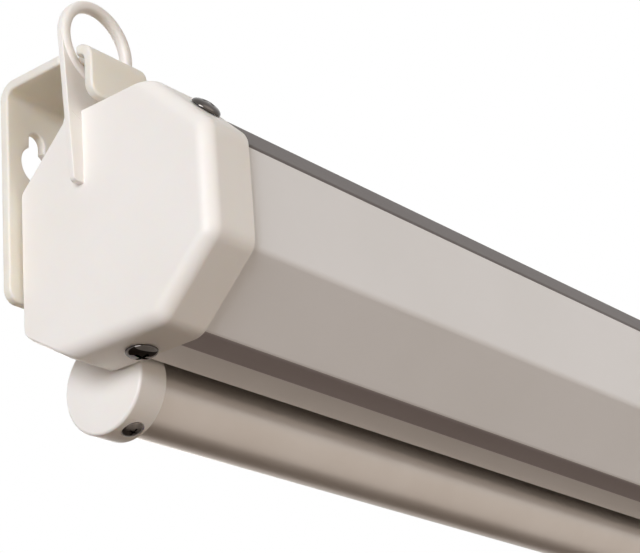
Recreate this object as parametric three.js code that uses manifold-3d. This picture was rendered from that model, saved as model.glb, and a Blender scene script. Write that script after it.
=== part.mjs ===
import * as THREE from 'three';
import { mergeVertices } from 'three/addons/utils/BufferGeometryUtils.js';
import Module from 'manifold-3d';

// A wall-hung pull-down projection screen, shown rolled up.
// A folded steel case with moulded end caps holds a sprung roller. The fabric leaves the
// back of the roll, drops through the open bottom of the case and ends in a round bar.
// Lengths are millimetres. +X runs along the case to the right, +Y points at the wall and
// +Z is up. Sizes are given from the outer face of the left end cap (X), the back of the
// caps (Y) and the top of the caps (Z). The finished group has its origin on the wall
// face of the left bracket.

// Fits shared by every piece
const clearance = 0.3;
const runningClearance = 0.08;
const overrun = 1;

// Overall sizes
const caseLength = 1700;
const fabricInset = 37;           // from the end of the case to the edge of the fabric
const fabricDrop = 1220;
const fabricSpare = 60;
const fabricThickness = 0.4;

// End cap: an octagon with unequal corner cuts, closed at its outer end
const capHeight = 74;
const capDepth = 72.6;
const topBackCutDepth = 19.6;
const topBackCutHeight = 18.2;
const topFrontCutDepth = 20;
const topFrontCutHeight = 20.9;
const lowFrontCutDepth = 21.1;
const lowFrontCutHeight = 19.9;
const lowBackCutDepth = 17.2;
const lowBackCutHeight = 11;
const capCornerRadius = 7;
const capEdgeRadius = 4.5;
const capBackEdgeInset = 1;
const capEndWall = 3;
const capSkirtWall = 1.6;
const capSkirtLength = 18.2;

// Hanging ring with its tongue and web, moulded on the end cap
const ringRadius = 12.8;
const ringSectionRadius = 1.8;
const ringSink = 2.5;             // from the bracket's leg down to the inside of the ring
const ringPlaneDepth = 25.3;
const tongueWidth = 2;
const tongueDrop = 24;
const tongueTipProjection = 3.8;
const tongueTipRadius = 1.6;
const tongueRootDrop = 4.6;
const ringWebHalf = 8;            // half the width of the web between the ring and the cap

// Case sheet
const sheetThickness = 0.8;
const lipGap = 0.9;
const lipWidthShare = 0.436;       // of the bottom, from its front corner to the bar
const bottomRise = 1.3;
const slotGap = 2.5;

// Wall bracket, one at each end
const bracketThickness = 3.1;
const bracketWidth = 23.4;
const bracketOverhang = 4;
const bracketRise = 18;
const bracketReach = 34.8;
const bracketDrop = 52.3;
const bracketBendRadius = 5.5;
const bracketCornerRadius = 4;
const neckLength = 6;
const keyholeRadius = 6;
const keyholeDrop = 6.1;
const keySlotWidth = 5.8;
const keySlotRise = 4.7;
const wallPointDrop = 27;

// Screws
const capScrewInset = 12;
const capScrewHeadRadius = 4.65;
const capScrewHeadHeight = 2.4;
const capScrewRadius = 1.9;
const capScrewLength = 8;
const bracketScrewDrop = 42;
const bracketScrewHeadRadius = 3.2;
const bracketScrewHeadHeight = 1.6;
const bracketScrewRadius = 1.5;
const bracketScrewLength = 9;
const recessWidth = 0.9;
const recessSpan = 4.4;
const recessDepth = 1.1;

// Roller, its hanger plates and bearing
const rollerDrop = 34;
const rollerRadius = 14;
const rollerWall = 1.2;
const rollerFlange = 1.6;
const rollerSideGap = 2.6;
const hangerThickness = 2;
const plugLength = 22;
const idlerPinRadius = 2.5;
const bushRadius = 5;
const bushFlangeRadius = 7;
const bushFlange = 1.4;

// Spring drive in the left end of the roller
const arborRadius = 3;
const arborLength = 300;
const spearThickness = 2.6;
const spearHeight = 5.2;
const springRadius = 7;
const springWireRadius = 0.7;
const springTurns = 10;
const anchorLength = 10;
const anchorRadius = 9;
const headCavityRadius = 11.4;
const headCavityDepth = 9;
const ratchetRadius = 5.3;
const ratchetThickness = 3.6;
const pawlPivotRadius = 9;
const pawlPinRadius = 1.1;
const pawlEyeRadius = 1.9;
const pawlLength = 7.5;
const pawlTipHalfWidth = 0.55;
const pawlTipRestRadius = 6.6;
const pawlTipLockedRadius = 4.7;
const notchMargin = 0.7;

// Bottom bar
const barDepth = 12;
const barHang = 1.75;
const barRadius = 12.2;
const barWall = 1.2;
const barEndGap = 0.9;
const barSlotWidth = 1.6;
const barCapWall = 2.5;
const barCapEndWall = 2.2;
const barCapLength = 10.7;
const barCapEdgeRadius = 0.9;
const barScrewInset = 6.2;
const barScrewAngle = 70;
const barScrewHeadRadius = 3.1;
const barScrewHeadHeight = 1.5;
const barScrewRadius = 1.3;
const barScrewLength = 5;
const barScrewRecessDepth = 0.7;
const barScrewCrossSpan = 3.4;
const splineRadius = 2.4;

// Pull handle under the middle of the bar
const pullPivotDrop = 18.4;
const pullPinRadius = 1.8;
const pullRingRadius = 13;
const pullRingDrop = 9;
const pullEyeWidth = 12;
const pullEyeRadius = 4.2;

// Facet counts
const bendSteps = 3;
const edgeSteps = 3;
const roundSides = 24;
const largeRoundSides = 32;
const holeSides = 16;
const ringSteps = 28;
const ringSides = 8;
const springStepsPerTurn = 12;
const springSides = 5;

// Places worked out from the sizes above
const barDrop = capHeight + barHang;
const barCapRadius = barRadius + clearance + barCapWall;
const barEndInset = capSkirtLength + barEndGap;
const coreRadiusSquared = rollerRadius * rollerRadius;
const woundArea = (fabricDrop + fabricSpare) * fabricThickness;
const rollRadius = Math.sqrt(coreRadiusSquared + woundArea / Math.PI);
const rollerDepth = barDepth + fabricThickness / 2 + clearance + rollRadius;
const sheetInset = capSkirtWall + clearance;
const sheetInnerInset = sheetInset + sheetThickness;
const bracketMiddle = bracketWidth / 2 - bracketOverhang;
const ringInnerRadius = ringRadius - ringSectionRadius;
const ringCentreRise = bracketRise - bracketThickness - ringSink + ringInnerRadius;
const hangerStart = capEndWall + clearance;
const hangerEnd = hangerStart + hangerThickness;
const flangeStart = hangerEnd + rollerSideGap;
const flangeEnd = flangeStart + rollerFlange;
const tubeStart = flangeEnd + clearance;
const plugEnd = tubeStart + plugLength;
const cavityEnd = flangeStart + headCavityDepth;
const ratchetStart = cavityEnd - clearance - ratchetThickness;
const capCorners = [
  [0, -topBackCutHeight],
  [-topBackCutDepth, 0],
  [-capDepth + topFrontCutDepth, 0],
  [-capDepth, -topFrontCutHeight],
  [-capDepth, -capHeight + lowFrontCutHeight],
  [-capDepth + lowFrontCutDepth, -capHeight],
  [-lowBackCutDepth, -capHeight],
  [0, -capHeight + lowBackCutHeight],
];
const topFrontFace = 2;
const bottomFace = 5;
// How far each side of the octagon is rounded in at the closed end, from the top back cut round
const capEdgeInsets = [
  capBackEdgeInset, capBackEdgeInset, capEdgeRadius, capEdgeRadius,
  capEdgeRadius, capEdgeRadius, capBackEdgeInset, capBackEdgeInset,
];

// Colours and finishes
const finishes = {
  casePaint: { color: 0xcdc9c5, roughness: 0.35, metalness: 0.2 },
  capPlastic: { color: 0xeeebe6, roughness: 0.45, metalness: 0 },
  bracketPlastic: { color: 0xece8e0, roughness: 0.5, metalness: 0 },
  chrome: { color: 0xd8d8da, roughness: 0.12, metalness: 1 },
  barMetal: { color: 0xb5aca2, roughness: 0.4, metalness: 0.6 },
  steel: { color: 0x9a9a9c, roughness: 0.4, metalness: 0.9 },
  springSteel: { color: 0x6f7072, roughness: 0.35, metalness: 0.9 },
  nylon: { color: 0xdedcd2, roughness: 0.5, metalness: 0 },
  screenCloth: { color: 0xf4f4f2, roughness: 0.85, metalness: 0 },
};

const wasm = await Module();
wasm.setup();

// Closed solids: a geometry becomes a solid to be cut or joined, and a geometry again
function toSolid(geometry) {
  const bare = geometry.clone();
  bare.deleteAttribute('normal');
  bare.deleteAttribute('uv');
  const merged = mergeVertices(bare);
  const vertProperties = new Float32Array(merged.attributes.position.array);
  const triVerts = new Uint32Array(merged.index.array);
  return new wasm.Manifold(new wasm.Mesh({ numProp: 3, vertProperties, triVerts }));
}

function toGeometry(solid) {
  const { vertProperties, triVerts } = solid.getMesh();
  const geometry = new THREE.BufferGeometry();
  geometry.setAttribute('position', new THREE.BufferAttribute(vertProperties, 3));
  geometry.setIndex(new THREE.BufferAttribute(triVerts, 1));
  geometry.computeVertexNormals();
  return geometry;
}

function cut(geometry, cutters) {
  return toGeometry(cutters.reduce((solid, cutter) => solid.subtract(toSolid(cutter)), toSolid(geometry)));
}

function join(pieces) {
  return toGeometry(pieces.map(toSolid).reduce((whole, piece) => whole.add(piece)));
}

// Turns every triangle over when a geometry encloses a negative volume
function facingOut(geometry) {
  const whole = geometry.index ? geometry : mergeVertices(geometry);
  const place = whole.attributes.position;
  const index = whole.index.array;
  const corner = [new THREE.Vector3(), new THREE.Vector3(), new THREE.Vector3()];
  let volume = 0;
  for (let i = 0; i < index.length; i += 3) {
    corner.forEach((point, k) => point.fromBufferAttribute(place, index[i + k]));
    volume += corner[0].dot(corner[1].clone().cross(corner[2])) / 6;
  }
  if (volume < 0) {
    for (let i = 0; i < index.length; i += 3) {
      [index[i + 1], index[i + 2]] = [index[i + 2], index[i + 1]];
    }
  }
  whole.computeVertexNormals();
  return whole;
}

// The same piece at the other end of the case
function mirrored(geometry) {
  const copy = geometry.clone();
  copy.scale(-1, 1, 1);
  copy.translate(caseLength, 0, 0);
  return facingOut(copy);
}

// Unit normal to the right of the way from one [y, z] point to the next
function rightNormal(from, to) {
  const along = new THREE.Vector2(to[0] - from[0], to[1] - from[1]).normalize();
  return new THREE.Vector2(along.y, -along.x);
}

// The point that lies a distance to the left of both lines through a corner
function offsetCorner(before, corner, after, distance) {
  const first = rightNormal(before, corner);
  const second = rightNormal(corner, after);
  const shrink = distance / (1 + first.dot(second));
  return [corner[0] - (first.x + second.x) * shrink, corner[1] - (first.y + second.y) * shrink];
}

// Points of an arc about a centre, from one unit direction to another
function arc(centre, radius, from, to, steps) {
  const start = from.angle();
  const turn = Math.atan2(from.cross(to), from.dot(to));
  return Array.from({ length: steps + 1 }, (_, k) => {
    const angle = start + (turn * k) / steps;
    return [centre[0] + radius * Math.cos(angle), centre[1] + radius * Math.sin(angle)];
  });
}

// The cap's octagon with each side moved in by its own inset, and with rounded corners
function roundedOctagon(insets, bend) {
  const count = capCorners.length;
  return capCorners.flatMap((corner, i) => {
    const before = capCorners[(i + count - 1) % count];
    const after = capCorners[(i + 1) % count];
    const [first, second] = [rightNormal(before, corner), rightNormal(corner, after)];
    const along = insets[(i + count - 1) % count] + bend;
    const onward = insets[i] + bend;
    const turn = first.cross(second);
    const centre = [
      corner[0] - (along * second.y - onward * first.y) / turn,
      corner[1] - (onward * first.x - along * second.x) / turn,
    ];
    return arc(centre, bend, first, second, bendSteps);
  });
}

function capOutline(inset) {
  return roundedOctagon(capCorners.map(() => inset), Math.max(capCornerRadius - inset, clearance));
}

// The outline of a bent strip. The corners lie on its right-hand face, and the strip's
// thickness is added on the left.
function stripOutline(corners, thickness, bendRadius) {
  const right = [];
  const left = [];
  corners.forEach((corner, i) => {
    const before = corners[i - 1];
    const after = corners[i + 1];
    if (!before || !after) {
      const normal = before ? rightNormal(before, corner) : rightNormal(corner, after);
      right.push(corner);
      left.push([corner[0] - normal.x * thickness, corner[1] - normal.y * thickness]);
      return;
    }
    const first = rightNormal(before, corner);
    const second = rightNormal(corner, after);
    if (first.cross(second) > 0) {
      const centre = offsetCorner(before, corner, after, bendRadius);
      right.push(...arc(centre, bendRadius, first, second, bendSteps));
      left.push(...arc(centre, bendRadius - thickness, first, second, bendSteps));
    } else {
      const centre = offsetCorner(before, corner, after, thickness - bendRadius);
      const [back, ahead] = [first.clone().negate(), second.clone().negate()];
      right.push(...arc(centre, bendRadius - thickness, back, ahead, bendSteps));
      left.push(...arc(centre, bendRadius, back, ahead, bendSteps));
    }
  });
  return [...right, ...left.reverse()];
}

function shapeOf(points) {
  return new THREE.Shape(points.map(([u, v]) => new THREE.Vector2(u, v)));
}

// A [y, z] outline extruded along X
function extrudeX(points, start, end) {
  const geometry = new THREE.ExtrudeGeometry(shapeOf(points), { depth: end - start, bevelEnabled: false });
  const yAxis = new THREE.Vector3(0, 1, 0);
  const zAxis = new THREE.Vector3(0, 0, 1);
  const xAxis = new THREE.Vector3(1, 0, 0);
  geometry.applyMatrix4(new THREE.Matrix4().makeBasis(yAxis, zAxis, xAxis));
  geometry.translate(start, 0, 0);
  return geometry;
}

// An [x, z] outline extruded along Y
function extrudeY(points, start, end) {
  const geometry = new THREE.ExtrudeGeometry(shapeOf(points), { depth: end - start, bevelEnabled: false });
  geometry.rotateX(Math.PI / 2);
  geometry.translate(0, end, 0);
  return geometry;
}

// A loft through rings of [y, z] points at rising X, closed by a flat face at each end
function loftX(rings) {
  const count = rings[0].points.length;
  const positions = rings.flatMap(({ x, points }) => points.flatMap(([y, z]) => [x, y, z]));
  const index = [];
  for (let r = 0; r + 1 < rings.length; r += 1) {
    for (let i = 0; i < count; i += 1) {
      const a = r * count + i;
      const b = r * count + ((i + 1) % count);
      index.push(a, b, b + count, a, b + count, a + count);
    }
  }
  const last = (rings.length - 1) * count;
  for (let i = 1; i + 1 < count; i += 1) {
    index.push(0, i + 1, i, last, last + i, last + i + 1);
  }
  const geometry = new THREE.BufferGeometry();
  geometry.setAttribute('position', new THREE.Float32BufferAttribute(positions, 3));
  geometry.setIndex(index);
  return facingOut(geometry);
}

// A round piece about an axis along X, from a closed profile of [x, radius] points
function turnX(profile, depth, drop, sides = roundSides) {
  const points = profile.map(([x, radius]) => new THREE.Vector2(radius, x));
  const onAxis = profile[0][1] === 0 && profile[profile.length - 1][1] === 0;
  if (!onAxis) points.push(points[0].clone());
  const geometry = new THREE.LatheGeometry(points, sides);
  geometry.deleteAttribute('normal');
  geometry.deleteAttribute('uv');
  geometry.rotateZ(-Math.PI / 2);
  geometry.translate(0, -depth, -drop);
  return facingOut(withoutSlivers(mergeVertices(geometry)));
}

// A rounded profile repeats its points on the axis, which leaves triangles with no area
function withoutSlivers(geometry) {
  const index = Array.from(geometry.index.array);
  const kept = [];
  for (let i = 0; i < index.length; i += 3) {
    const [a, b, c] = index.slice(i, i + 3);
    if (a !== b && b !== c && c !== a) kept.push(a, b, c);
  }
  geometry.setIndex(kept);
  return geometry;
}

function rodX(radius, start, end, depth, drop, sides) {
  return turnX([[start, 0], [start, radius], [end, radius], [end, 0]], depth, drop, sides);
}

function tubeX(outer, inner, start, end, depth, drop, sides) {
  return turnX([[start, inner], [start, outer], [end, outer], [end, inner]], depth, drop, sides);
}

function block(from, to) {
  const size = to.map((value, k) => value - from[k]);
  const geometry = new THREE.BoxGeometry(...size);
  geometry.translate(...from.map((value, k) => value + size[k] / 2));
  return geometry;
}

// Moves a piece that is built along +Y so that it stands on a place and points along a direction
function stand(geometry, place, direction) {
  const turn = new THREE.Quaternion().setFromUnitVectors(new THREE.Vector3(0, 1, 0), direction);
  geometry.applyQuaternion(turn);
  geometry.translate(place.x, place.y, place.z);
  return geometry;
}

// A lathe piece along +Y from a profile of [radius, height] points that ends on the axis
function turnUp(profile, sides = roundSides) {
  const geometry = new THREE.LatheGeometry(profile.map(([r, h]) => new THREE.Vector2(r, h)), sides);
  geometry.deleteAttribute('normal');
  geometry.deleteAttribute('uv');
  return facingOut(withoutSlivers(mergeVertices(geometry)));
}

function crossRecess(top, span, depth) {
  const half = span / 2;
  const slit = recessWidth / 2;
  return [
    block([-half, top - depth, -slit], [half, top + overrun, slit]),
    block([-slit, top - depth, -half], [slit, top + overrun, half]),
  ];
}

// A domed screw along +Y: its head stands on zero and its shank goes down
function domedScrew(headRadius, headHeight, radius, length, span, depth) {
  const domeRadius = (headRadius * headRadius + headHeight * headHeight) / (2 * headHeight);
  const sweep = Math.asin(headRadius / domeRadius);
  const dome = Array.from({ length: edgeSteps + 1 }, (_, k) => {
    const angle = sweep * (1 - k / edgeSteps);
    return [k === edgeSteps ? 0 : domeRadius * Math.sin(angle), headHeight - domeRadius * (1 - Math.cos(angle))];
  });
  const screw = turnUp([[0, -length], [radius, -length], [radius, 0], ...dome], holeSides);
  return cut(screw, crossRecess(headHeight, span, depth));
}

// Mid-point and outward direction of one face of the cap's octagon, at a given X
function capFace(face, x) {
  const from = capCorners[face];
  const to = capCorners[face + 1];
  const normal = rightNormal(from, to);
  return {
    place: new THREE.Vector3(x, (from[0] + to[0]) / 2, (from[1] + to[1]) / 2),
    direction: new THREE.Vector3(0, normal.x, normal.y),
  };
}

function capScrewHole(face) {
  const { place, direction } = capFace(face, capScrewInset);
  const radius = capScrewRadius + clearance;
  const length = capScrewLength + overrun;
  return stand(turnUp([[0, -length], [radius, -length], [radius, overrun], [0, overrun]], holeSides), place, direction);
}

function capScrew(face) {
  const { place, direction } = capFace(face, capScrewInset);
  const screw = domedScrew(
    capScrewHeadRadius, capScrewHeadHeight, capScrewRadius, capScrewLength, recessSpan, recessDepth,
  );
  return stand(screw, place.addScaledVector(direction, clearance), direction);
}

// The hole for the bracket's screw, through the back of the cap and the sheet
function bracketScrewHole() {
  const length = capSkirtWall + clearance + sheetThickness + overrun;
  const radius = bracketScrewRadius + clearance;
  const hole = turnUp([[0, -length], [radius, -length], [radius, overrun], [0, overrun]], holeSides);
  return stand(hole, new THREE.Vector3(bracketMiddle, 0, -bracketScrewDrop), new THREE.Vector3(0, 1, 0));
}

// End cap

function capBody() {
  const rings = Array.from({ length: edgeSteps + 1 }, (_, k) => {
    const angle = ((Math.PI / 2) * k) / edgeSteps;
    const share = 1 - Math.cos(angle);
    return {
      x: capEdgeRadius * (1 - Math.sin(angle)),
      points: roundedOctagon(capEdgeInsets.map((inset) => inset * share), capCornerRadius - capEdgeRadius * share),
    };
  }).reverse();
  rings.push({ x: capSkirtLength, points: capOutline(0) });
  return loftX(rings);
}

function hangingRing() {
  const ring = new THREE.TorusGeometry(ringRadius, ringSectionRadius, ringSides, ringSteps);
  ring.rotateX(Math.PI / 2);
  ring.translate(bracketMiddle, -ringPlaneDepth, ringCentreRise);
  return ring;
}

// The tongue runs from the side of the ring down the end face and narrows to a round tip
function ringTongue() {
  const outerEdge = bracketMiddle - ringRadius - ringSectionRadius;
  const innerEdge = outerEdge + 2 * ringSectionRadius;
  const insideWall = capEndWall / 2;
  const tipCentre = [-tongueTipProjection + tongueTipRadius, -tongueDrop + tongueTipRadius];
  const left = new THREE.Vector2(-1, 0);
  const down = new THREE.Vector2(0, -1);
  const outline = [
    [insideWall, -tongueDrop],
    [insideWall, -tongueRootDrop],
    [-tongueTipProjection, -tongueRootDrop / 2],
    [innerEdge, ringCentreRise],
    [outerEdge, ringCentreRise],
    ...arc(tipCentre, tongueTipRadius, left, down, bendSteps),
  ];
  return extrudeY(outline, -ringPlaneDepth - tongueWidth / 2, -ringPlaneDepth + tongueWidth / 2);
}

// The web in the ring's plane that carries it on the cap, from the tongue across its lower side
function ringWeb() {
  const insideWall = capEndWall / 2;
  const insideTop = -capSkirtWall / 2;
  const right = bracketMiddle + ringWebHalf;
  const centre = [bracketMiddle, ringCentreRise];
  const rise = Math.sqrt(ringRadius ** 2 - ringWebHalf ** 2);
  const rightEnd = new THREE.Vector2(ringWebHalf, -rise).normalize();
  const outline = [
    [insideWall, -tongueRootDrop],
    [capEndWall, insideTop],
    [right, insideTop],
    ...arc(centre, ringRadius, rightEnd, new THREE.Vector2(-1, 0), roundSides / 2),
    [-tongueTipProjection - clearance, -tongueRootDrop / 2],
  ];
  return extrudeY(outline, -ringPlaneDepth - tongueWidth / 2, -ringPlaneDepth + tongueWidth / 2);
}

function endCap() {
  const cavity = extrudeX(capOutline(capSkirtWall), capEndWall, capSkirtLength + overrun);
  const shell = cut(capBody(), [cavity, capScrewHole(topFrontFace), capScrewHole(bottomFace), bracketScrewHole()]);
  return join([shell, hangingRing(), ringTongue(), ringWeb()]);
}

// Case sheet

function caseShell() {
  const insetCorner = (i) => {
    const count = capCorners.length;
    const before = capCorners[(i + count - 1) % count];
    return offsetCorner(before, capCorners[i], capCorners[(i + 1) % count], sheetInset);
  };
  const bottom = -capHeight + sheetInset;
  const lipEdge = barDepth + barCapRadius + lipGap;
  const lipWidth = lipWidthShare * (capDepth - lowFrontCutDepth - lipEdge);
  const backPanelEnd = barDrop - barCapRadius - slotGap;
  const corners = [
    [-sheetInset, -backPanelEnd],
    ...[0, 1, 2, 3, 4, 5].map(insetCorner),
    [-lipEdge - lipWidth, bottom + bottomRise],
    [-lipEdge, bottom],
  ];
  const outline = stripOutline(corners, sheetThickness, capCornerRadius - sheetInset);
  const start = capEndWall + clearance;
  const sheet = extrudeX(outline, start, caseLength - start);
  const holes = [capScrewHole(topFrontFace), capScrewHole(bottomFace), bracketScrewHole()];
  return cut(sheet, [...holes, ...holes.map(mirrored)]);
}

// Wall bracket

// A cutter that leaves a rounded corner: signs point from the corner into the plate
function cornerCutter(x, z, signX, signZ, from, to) {
  const centre = [x + signX * bracketCornerRadius, z + signZ * bracketCornerRadius];
  const sideways = new THREE.Vector2(-signX, 0);
  const endways = new THREE.Vector2(0, -signZ);
  const outline = [
    [x - signX * overrun, z - signZ * overrun],
    [x - signX * overrun, centre[1]],
    ...arc(centre, bracketCornerRadius, sideways, endways, bendSteps),
    [centre[0], z - signZ * overrun],
  ];
  return facingOut(extrudeY(outline, from, to));
}

function keyhole() {
  const half = keySlotWidth / 2;
  const meet = Math.asin(half / keyholeRadius);
  const steps = holeSides;
  const round = Array.from({ length: steps + 1 }, (_, k) => {
    const angle = Math.PI / 2 + meet + ((2 * Math.PI - 2 * meet) * k) / steps;
    return [
      bracketMiddle + keyholeRadius * Math.cos(angle),
      -keyholeDrop + keyholeRadius * Math.sin(angle),
    ];
  });
  const slotEnd = arc([bracketMiddle, keySlotRise - half], half, new THREE.Vector2(1, 0), new THREE.Vector2(0, 1), 2);
  const slotOther = slotEnd.map(([x, z]) => [2 * bracketMiddle - x, z]).reverse().slice(1);
  return extrudeY([...round, ...slotEnd, ...slotOther], clearance - overrun, clearance + bracketThickness + overrun);
}

function wallBracket() {
  const wallFace = clearance + bracketThickness;
  const left = -bracketOverhang;
  const right = bracketWidth - bracketOverhang;
  const corners = [
    [wallFace, -bracketDrop],
    [wallFace, bracketRise],
    [-bracketReach, bracketRise],
    [-bracketReach, clearance],
  ];
  const plate = extrudeX(stripOutline(corners, bracketThickness, bracketBendRadius), left, right);
  const legBack = clearance - overrun;
  const lipFront = -bracketReach - overrun;
  const lipBack = -bracketReach + bracketThickness + overrun;
  const neckHalf = Math.sqrt(ringSink * (2 * ringInnerRadius - ringSink)) - clearance;
  const neck = (from, to) => block(
    [from, -ringPlaneDepth - neckLength / 2, clearance],
    [to, -ringPlaneDepth + neckLength / 2, bracketRise + overrun],
  );
  const screwTop = wallFace - bracketScrewHeadHeight;
  const screwHole = turnUp([
    [0, screwTop - bracketThickness - overrun],
    [bracketScrewRadius + clearance, screwTop - bracketThickness - overrun],
    [bracketScrewRadius + clearance, screwTop - clearance],
    [bracketScrewHeadRadius + clearance, wallFace - clearance],
    [bracketScrewHeadRadius + clearance, wallFace + overrun],
    [0, wallFace + overrun],
  ], holeSides);
  screwHole.translate(bracketMiddle, 0, -bracketScrewDrop);
  return cut(plate, [
    cornerCutter(left, -bracketDrop, 1, 1, legBack, wallFace + overrun),
    cornerCutter(right, -bracketDrop, -1, 1, legBack, wallFace + overrun),
    cornerCutter(left, clearance, 1, 1, lipFront, lipBack),
    cornerCutter(right, clearance, -1, 1, lipFront, lipBack),
    neck(left - overrun, bracketMiddle - neckHalf),
    neck(bracketMiddle + neckHalf, right + overrun),
    keyhole(),
    screwHole,
  ]);
}

// A flat-headed screw, flush with the wall face of the bracket
function bracketScrew() {
  const wallFace = clearance + bracketThickness;
  const shoulder = wallFace - bracketScrewHeadHeight;
  const screw = turnUp([
    [0, wallFace - clearance - bracketScrewLength],
    [bracketScrewRadius, wallFace - clearance - bracketScrewLength],
    [bracketScrewRadius, shoulder],
    [bracketScrewHeadRadius, wallFace - clearance],
    [0, wallFace - clearance],
  ], holeSides);
  screw.translate(bracketMiddle, 0, -bracketScrewDrop);
  return screw;
}

// Roller and what carries it

function hangerPlate(hole) {
  const inset = sheetInnerInset + bottomRise + clearance;
  return cut(extrudeX(capOutline(inset), hangerStart, hangerEnd), [hole]);
}

function spearHanger() {
  const slotDepth = spearThickness / 2 + clearance;
  const slotHeight = spearHeight / 2 + clearance;
  return hangerPlate(block(
    [hangerStart - overrun, -rollerDepth - slotDepth, -rollerDrop - slotHeight],
    [hangerEnd + overrun, -rollerDepth + slotDepth, -rollerDrop + slotHeight],
  ));
}

function bushHanger() {
  const radius = bushRadius + clearance;
  const hole = rodX(radius, hangerStart - overrun, hangerEnd + overrun, rollerDepth, rollerDrop);
  return mirrored(hangerPlate(hole));
}

function bearingBush() {
  const bore = idlerPinRadius + runningClearance;
  const flange = hangerEnd + clearance;
  return mirrored(turnX([
    [hangerStart, bore],
    [hangerStart, bushRadius],
    [flange, bushRadius],
    [flange, bushFlangeRadius],
    [flange + bushFlange, bushFlangeRadius],
    [flange + bushFlange, bore],
  ], rollerDepth, rollerDrop));
}

function rollerTube() {
  return tubeX(
    rollerRadius, rollerRadius - rollerWall, tubeStart, caseLength - tubeStart, rollerDepth, rollerDrop, largeRoundSides,
  );
}

// The fabric that is wound on the roller, as one closed sleeve
function fabricRoll() {
  return tubeX(
    rollRadius, rollerRadius + clearance, fabricInset, caseLength - fabricInset, rollerDepth, rollerDrop, largeRoundSides,
  );
}

function idlerPlug() {
  const body = rollerRadius - rollerWall - clearance;
  return mirrored(turnX([
    [hangerStart, 0],
    [hangerStart, idlerPinRadius],
    [flangeStart, idlerPinRadius],
    [flangeStart, rollerRadius],
    [flangeEnd, rollerRadius],
    [flangeEnd, body],
    [plugEnd, body],
    [plugEnd, 0],
  ], rollerDepth, rollerDrop));
}

// The two pawls sit opposite each other about the roller's axis
const pawlTurns = [0, Math.PI];

function aboutRoller(geometry, turn) {
  geometry.rotateX(turn);
  geometry.translate(0, -rollerDepth, -rollerDrop);
  return geometry;
}

function rollerHead() {
  const body = rollerRadius - rollerWall - clearance;
  const bore = arborRadius + clearance;
  const cup = turnX([
    [flangeStart, headCavityRadius],
    [flangeStart, rollerRadius],
    [flangeEnd, rollerRadius],
    [flangeEnd, body],
    [plugEnd, body],
    [plugEnd, bore],
    [cavityEnd, bore],
    [cavityEnd, headCavityRadius],
  ], rollerDepth, rollerDrop);
  const pins = pawlTurns.map((turn) => {
    const pin = new THREE.CylinderGeometry(pawlPinRadius, pawlPinRadius, ratchetThickness + overrun, holeSides);
    pin.rotateZ(Math.PI / 2);
    pin.translate(cavityEnd - ratchetThickness / 2, 0, pawlPivotRadius);
    return aboutRoller(pin, turn);
  });
  return join([cup, ...pins]);
}

// Angle at the pivot between the way to the roller's axis and the way to the pawl's tip
function pawlAngle(tipRadius) {
  const sides = pawlPivotRadius ** 2 + pawlLength ** 2 - tipRadius ** 2;
  return Math.acos(sides / (2 * pawlPivotRadius * pawlLength));
}

// A pawl in [y, z] about the roller's axis, with its tip turned to a given angle
function pawlPoint(angle, along, across) {
  const direction = new THREE.Vector2(Math.sin(angle), -Math.cos(angle));
  return [
    direction.x * along - direction.y * across,
    pawlPivotRadius + direction.y * along + direction.x * across,
  ];
}

function pawl(turn) {
  const angle = pawlAngle(pawlTipRestRadius);
  const eye = Array.from({ length: roundSides / 2 + 1 }, (_, k) => {
    const around = Math.PI / 2 + (Math.PI * k) / (roundSides / 2);
    return pawlPoint(angle, pawlEyeRadius * Math.cos(around), pawlEyeRadius * Math.sin(around));
  });
  const tip = [
    pawlPoint(angle, pawlLength, -pawlTipHalfWidth),
    pawlPoint(angle, pawlLength, pawlTipHalfWidth),
  ];
  const arm = extrudeX([...eye, ...tip], ratchetStart, ratchetStart + ratchetThickness);
  const radius = pawlPinRadius + runningClearance;
  const hole = new THREE.CylinderGeometry(radius, radius, ratchetThickness + 2 * overrun, holeSides);
  hole.rotateZ(Math.PI / 2);
  hole.translate(ratchetStart + ratchetThickness / 2, 0, pawlPivotRadius);
  return aboutRoller(cut(arm, [hole]), turn);
}

function ratchetNotch(turn) {
  const angle = pawlAngle(pawlTipLockedRadius);
  const half = pawlTipHalfWidth + notchMargin;
  const outline = [
    pawlPoint(angle, pawlLength + notchMargin, -half),
    pawlPoint(angle, pawlLength + notchMargin, half),
    pawlPoint(angle, pawlEyeRadius, half),
    pawlPoint(angle, pawlEyeRadius, -half),
  ];
  const from = ratchetStart - overrun;
  return aboutRoller(facingOut(extrudeX(outline, from, from + ratchetThickness + 2 * overrun)), turn);
}

function ratchetDisc() {
  const bore = arborRadius + runningClearance;
  const disc = tubeX(ratchetRadius, bore, ratchetStart, ratchetStart + ratchetThickness, rollerDepth, rollerDrop);
  return cut(disc, pawlTurns.map(ratchetNotch));
}

// The fixed shaft: a flat spear in the hanger plate and a round rod inside the roller
function springArbor() {
  const start = flangeStart + clearance;
  const rod = rodX(arborRadius, start, start + arborLength, rollerDepth, rollerDrop);
  const spear = block(
    [hangerStart, -rollerDepth - spearThickness / 2, -rollerDrop - spearHeight / 2],
    [start + overrun, -rollerDepth + spearThickness / 2, -rollerDrop + spearHeight / 2],
  );
  return join([rod, spear]);
}

function springAnchor() {
  const end = flangeStart + clearance + arborLength;
  const bore = arborRadius + runningClearance;
  return tubeX(anchorRadius, bore, end - anchorLength, end, rollerDepth, rollerDrop);
}

class Helix extends THREE.Curve {
  constructor(radius, start, end, turns) {
    super();
    Object.assign(this, { radius, start, end, turns });
  }

  getPoint(t, target = new THREE.Vector3()) {
    const angle = 2 * Math.PI * this.turns * t;
    const x = this.start + (this.end - this.start) * t;
    return target.set(x, this.radius * Math.cos(angle), this.radius * Math.sin(angle));
  }
}

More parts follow.
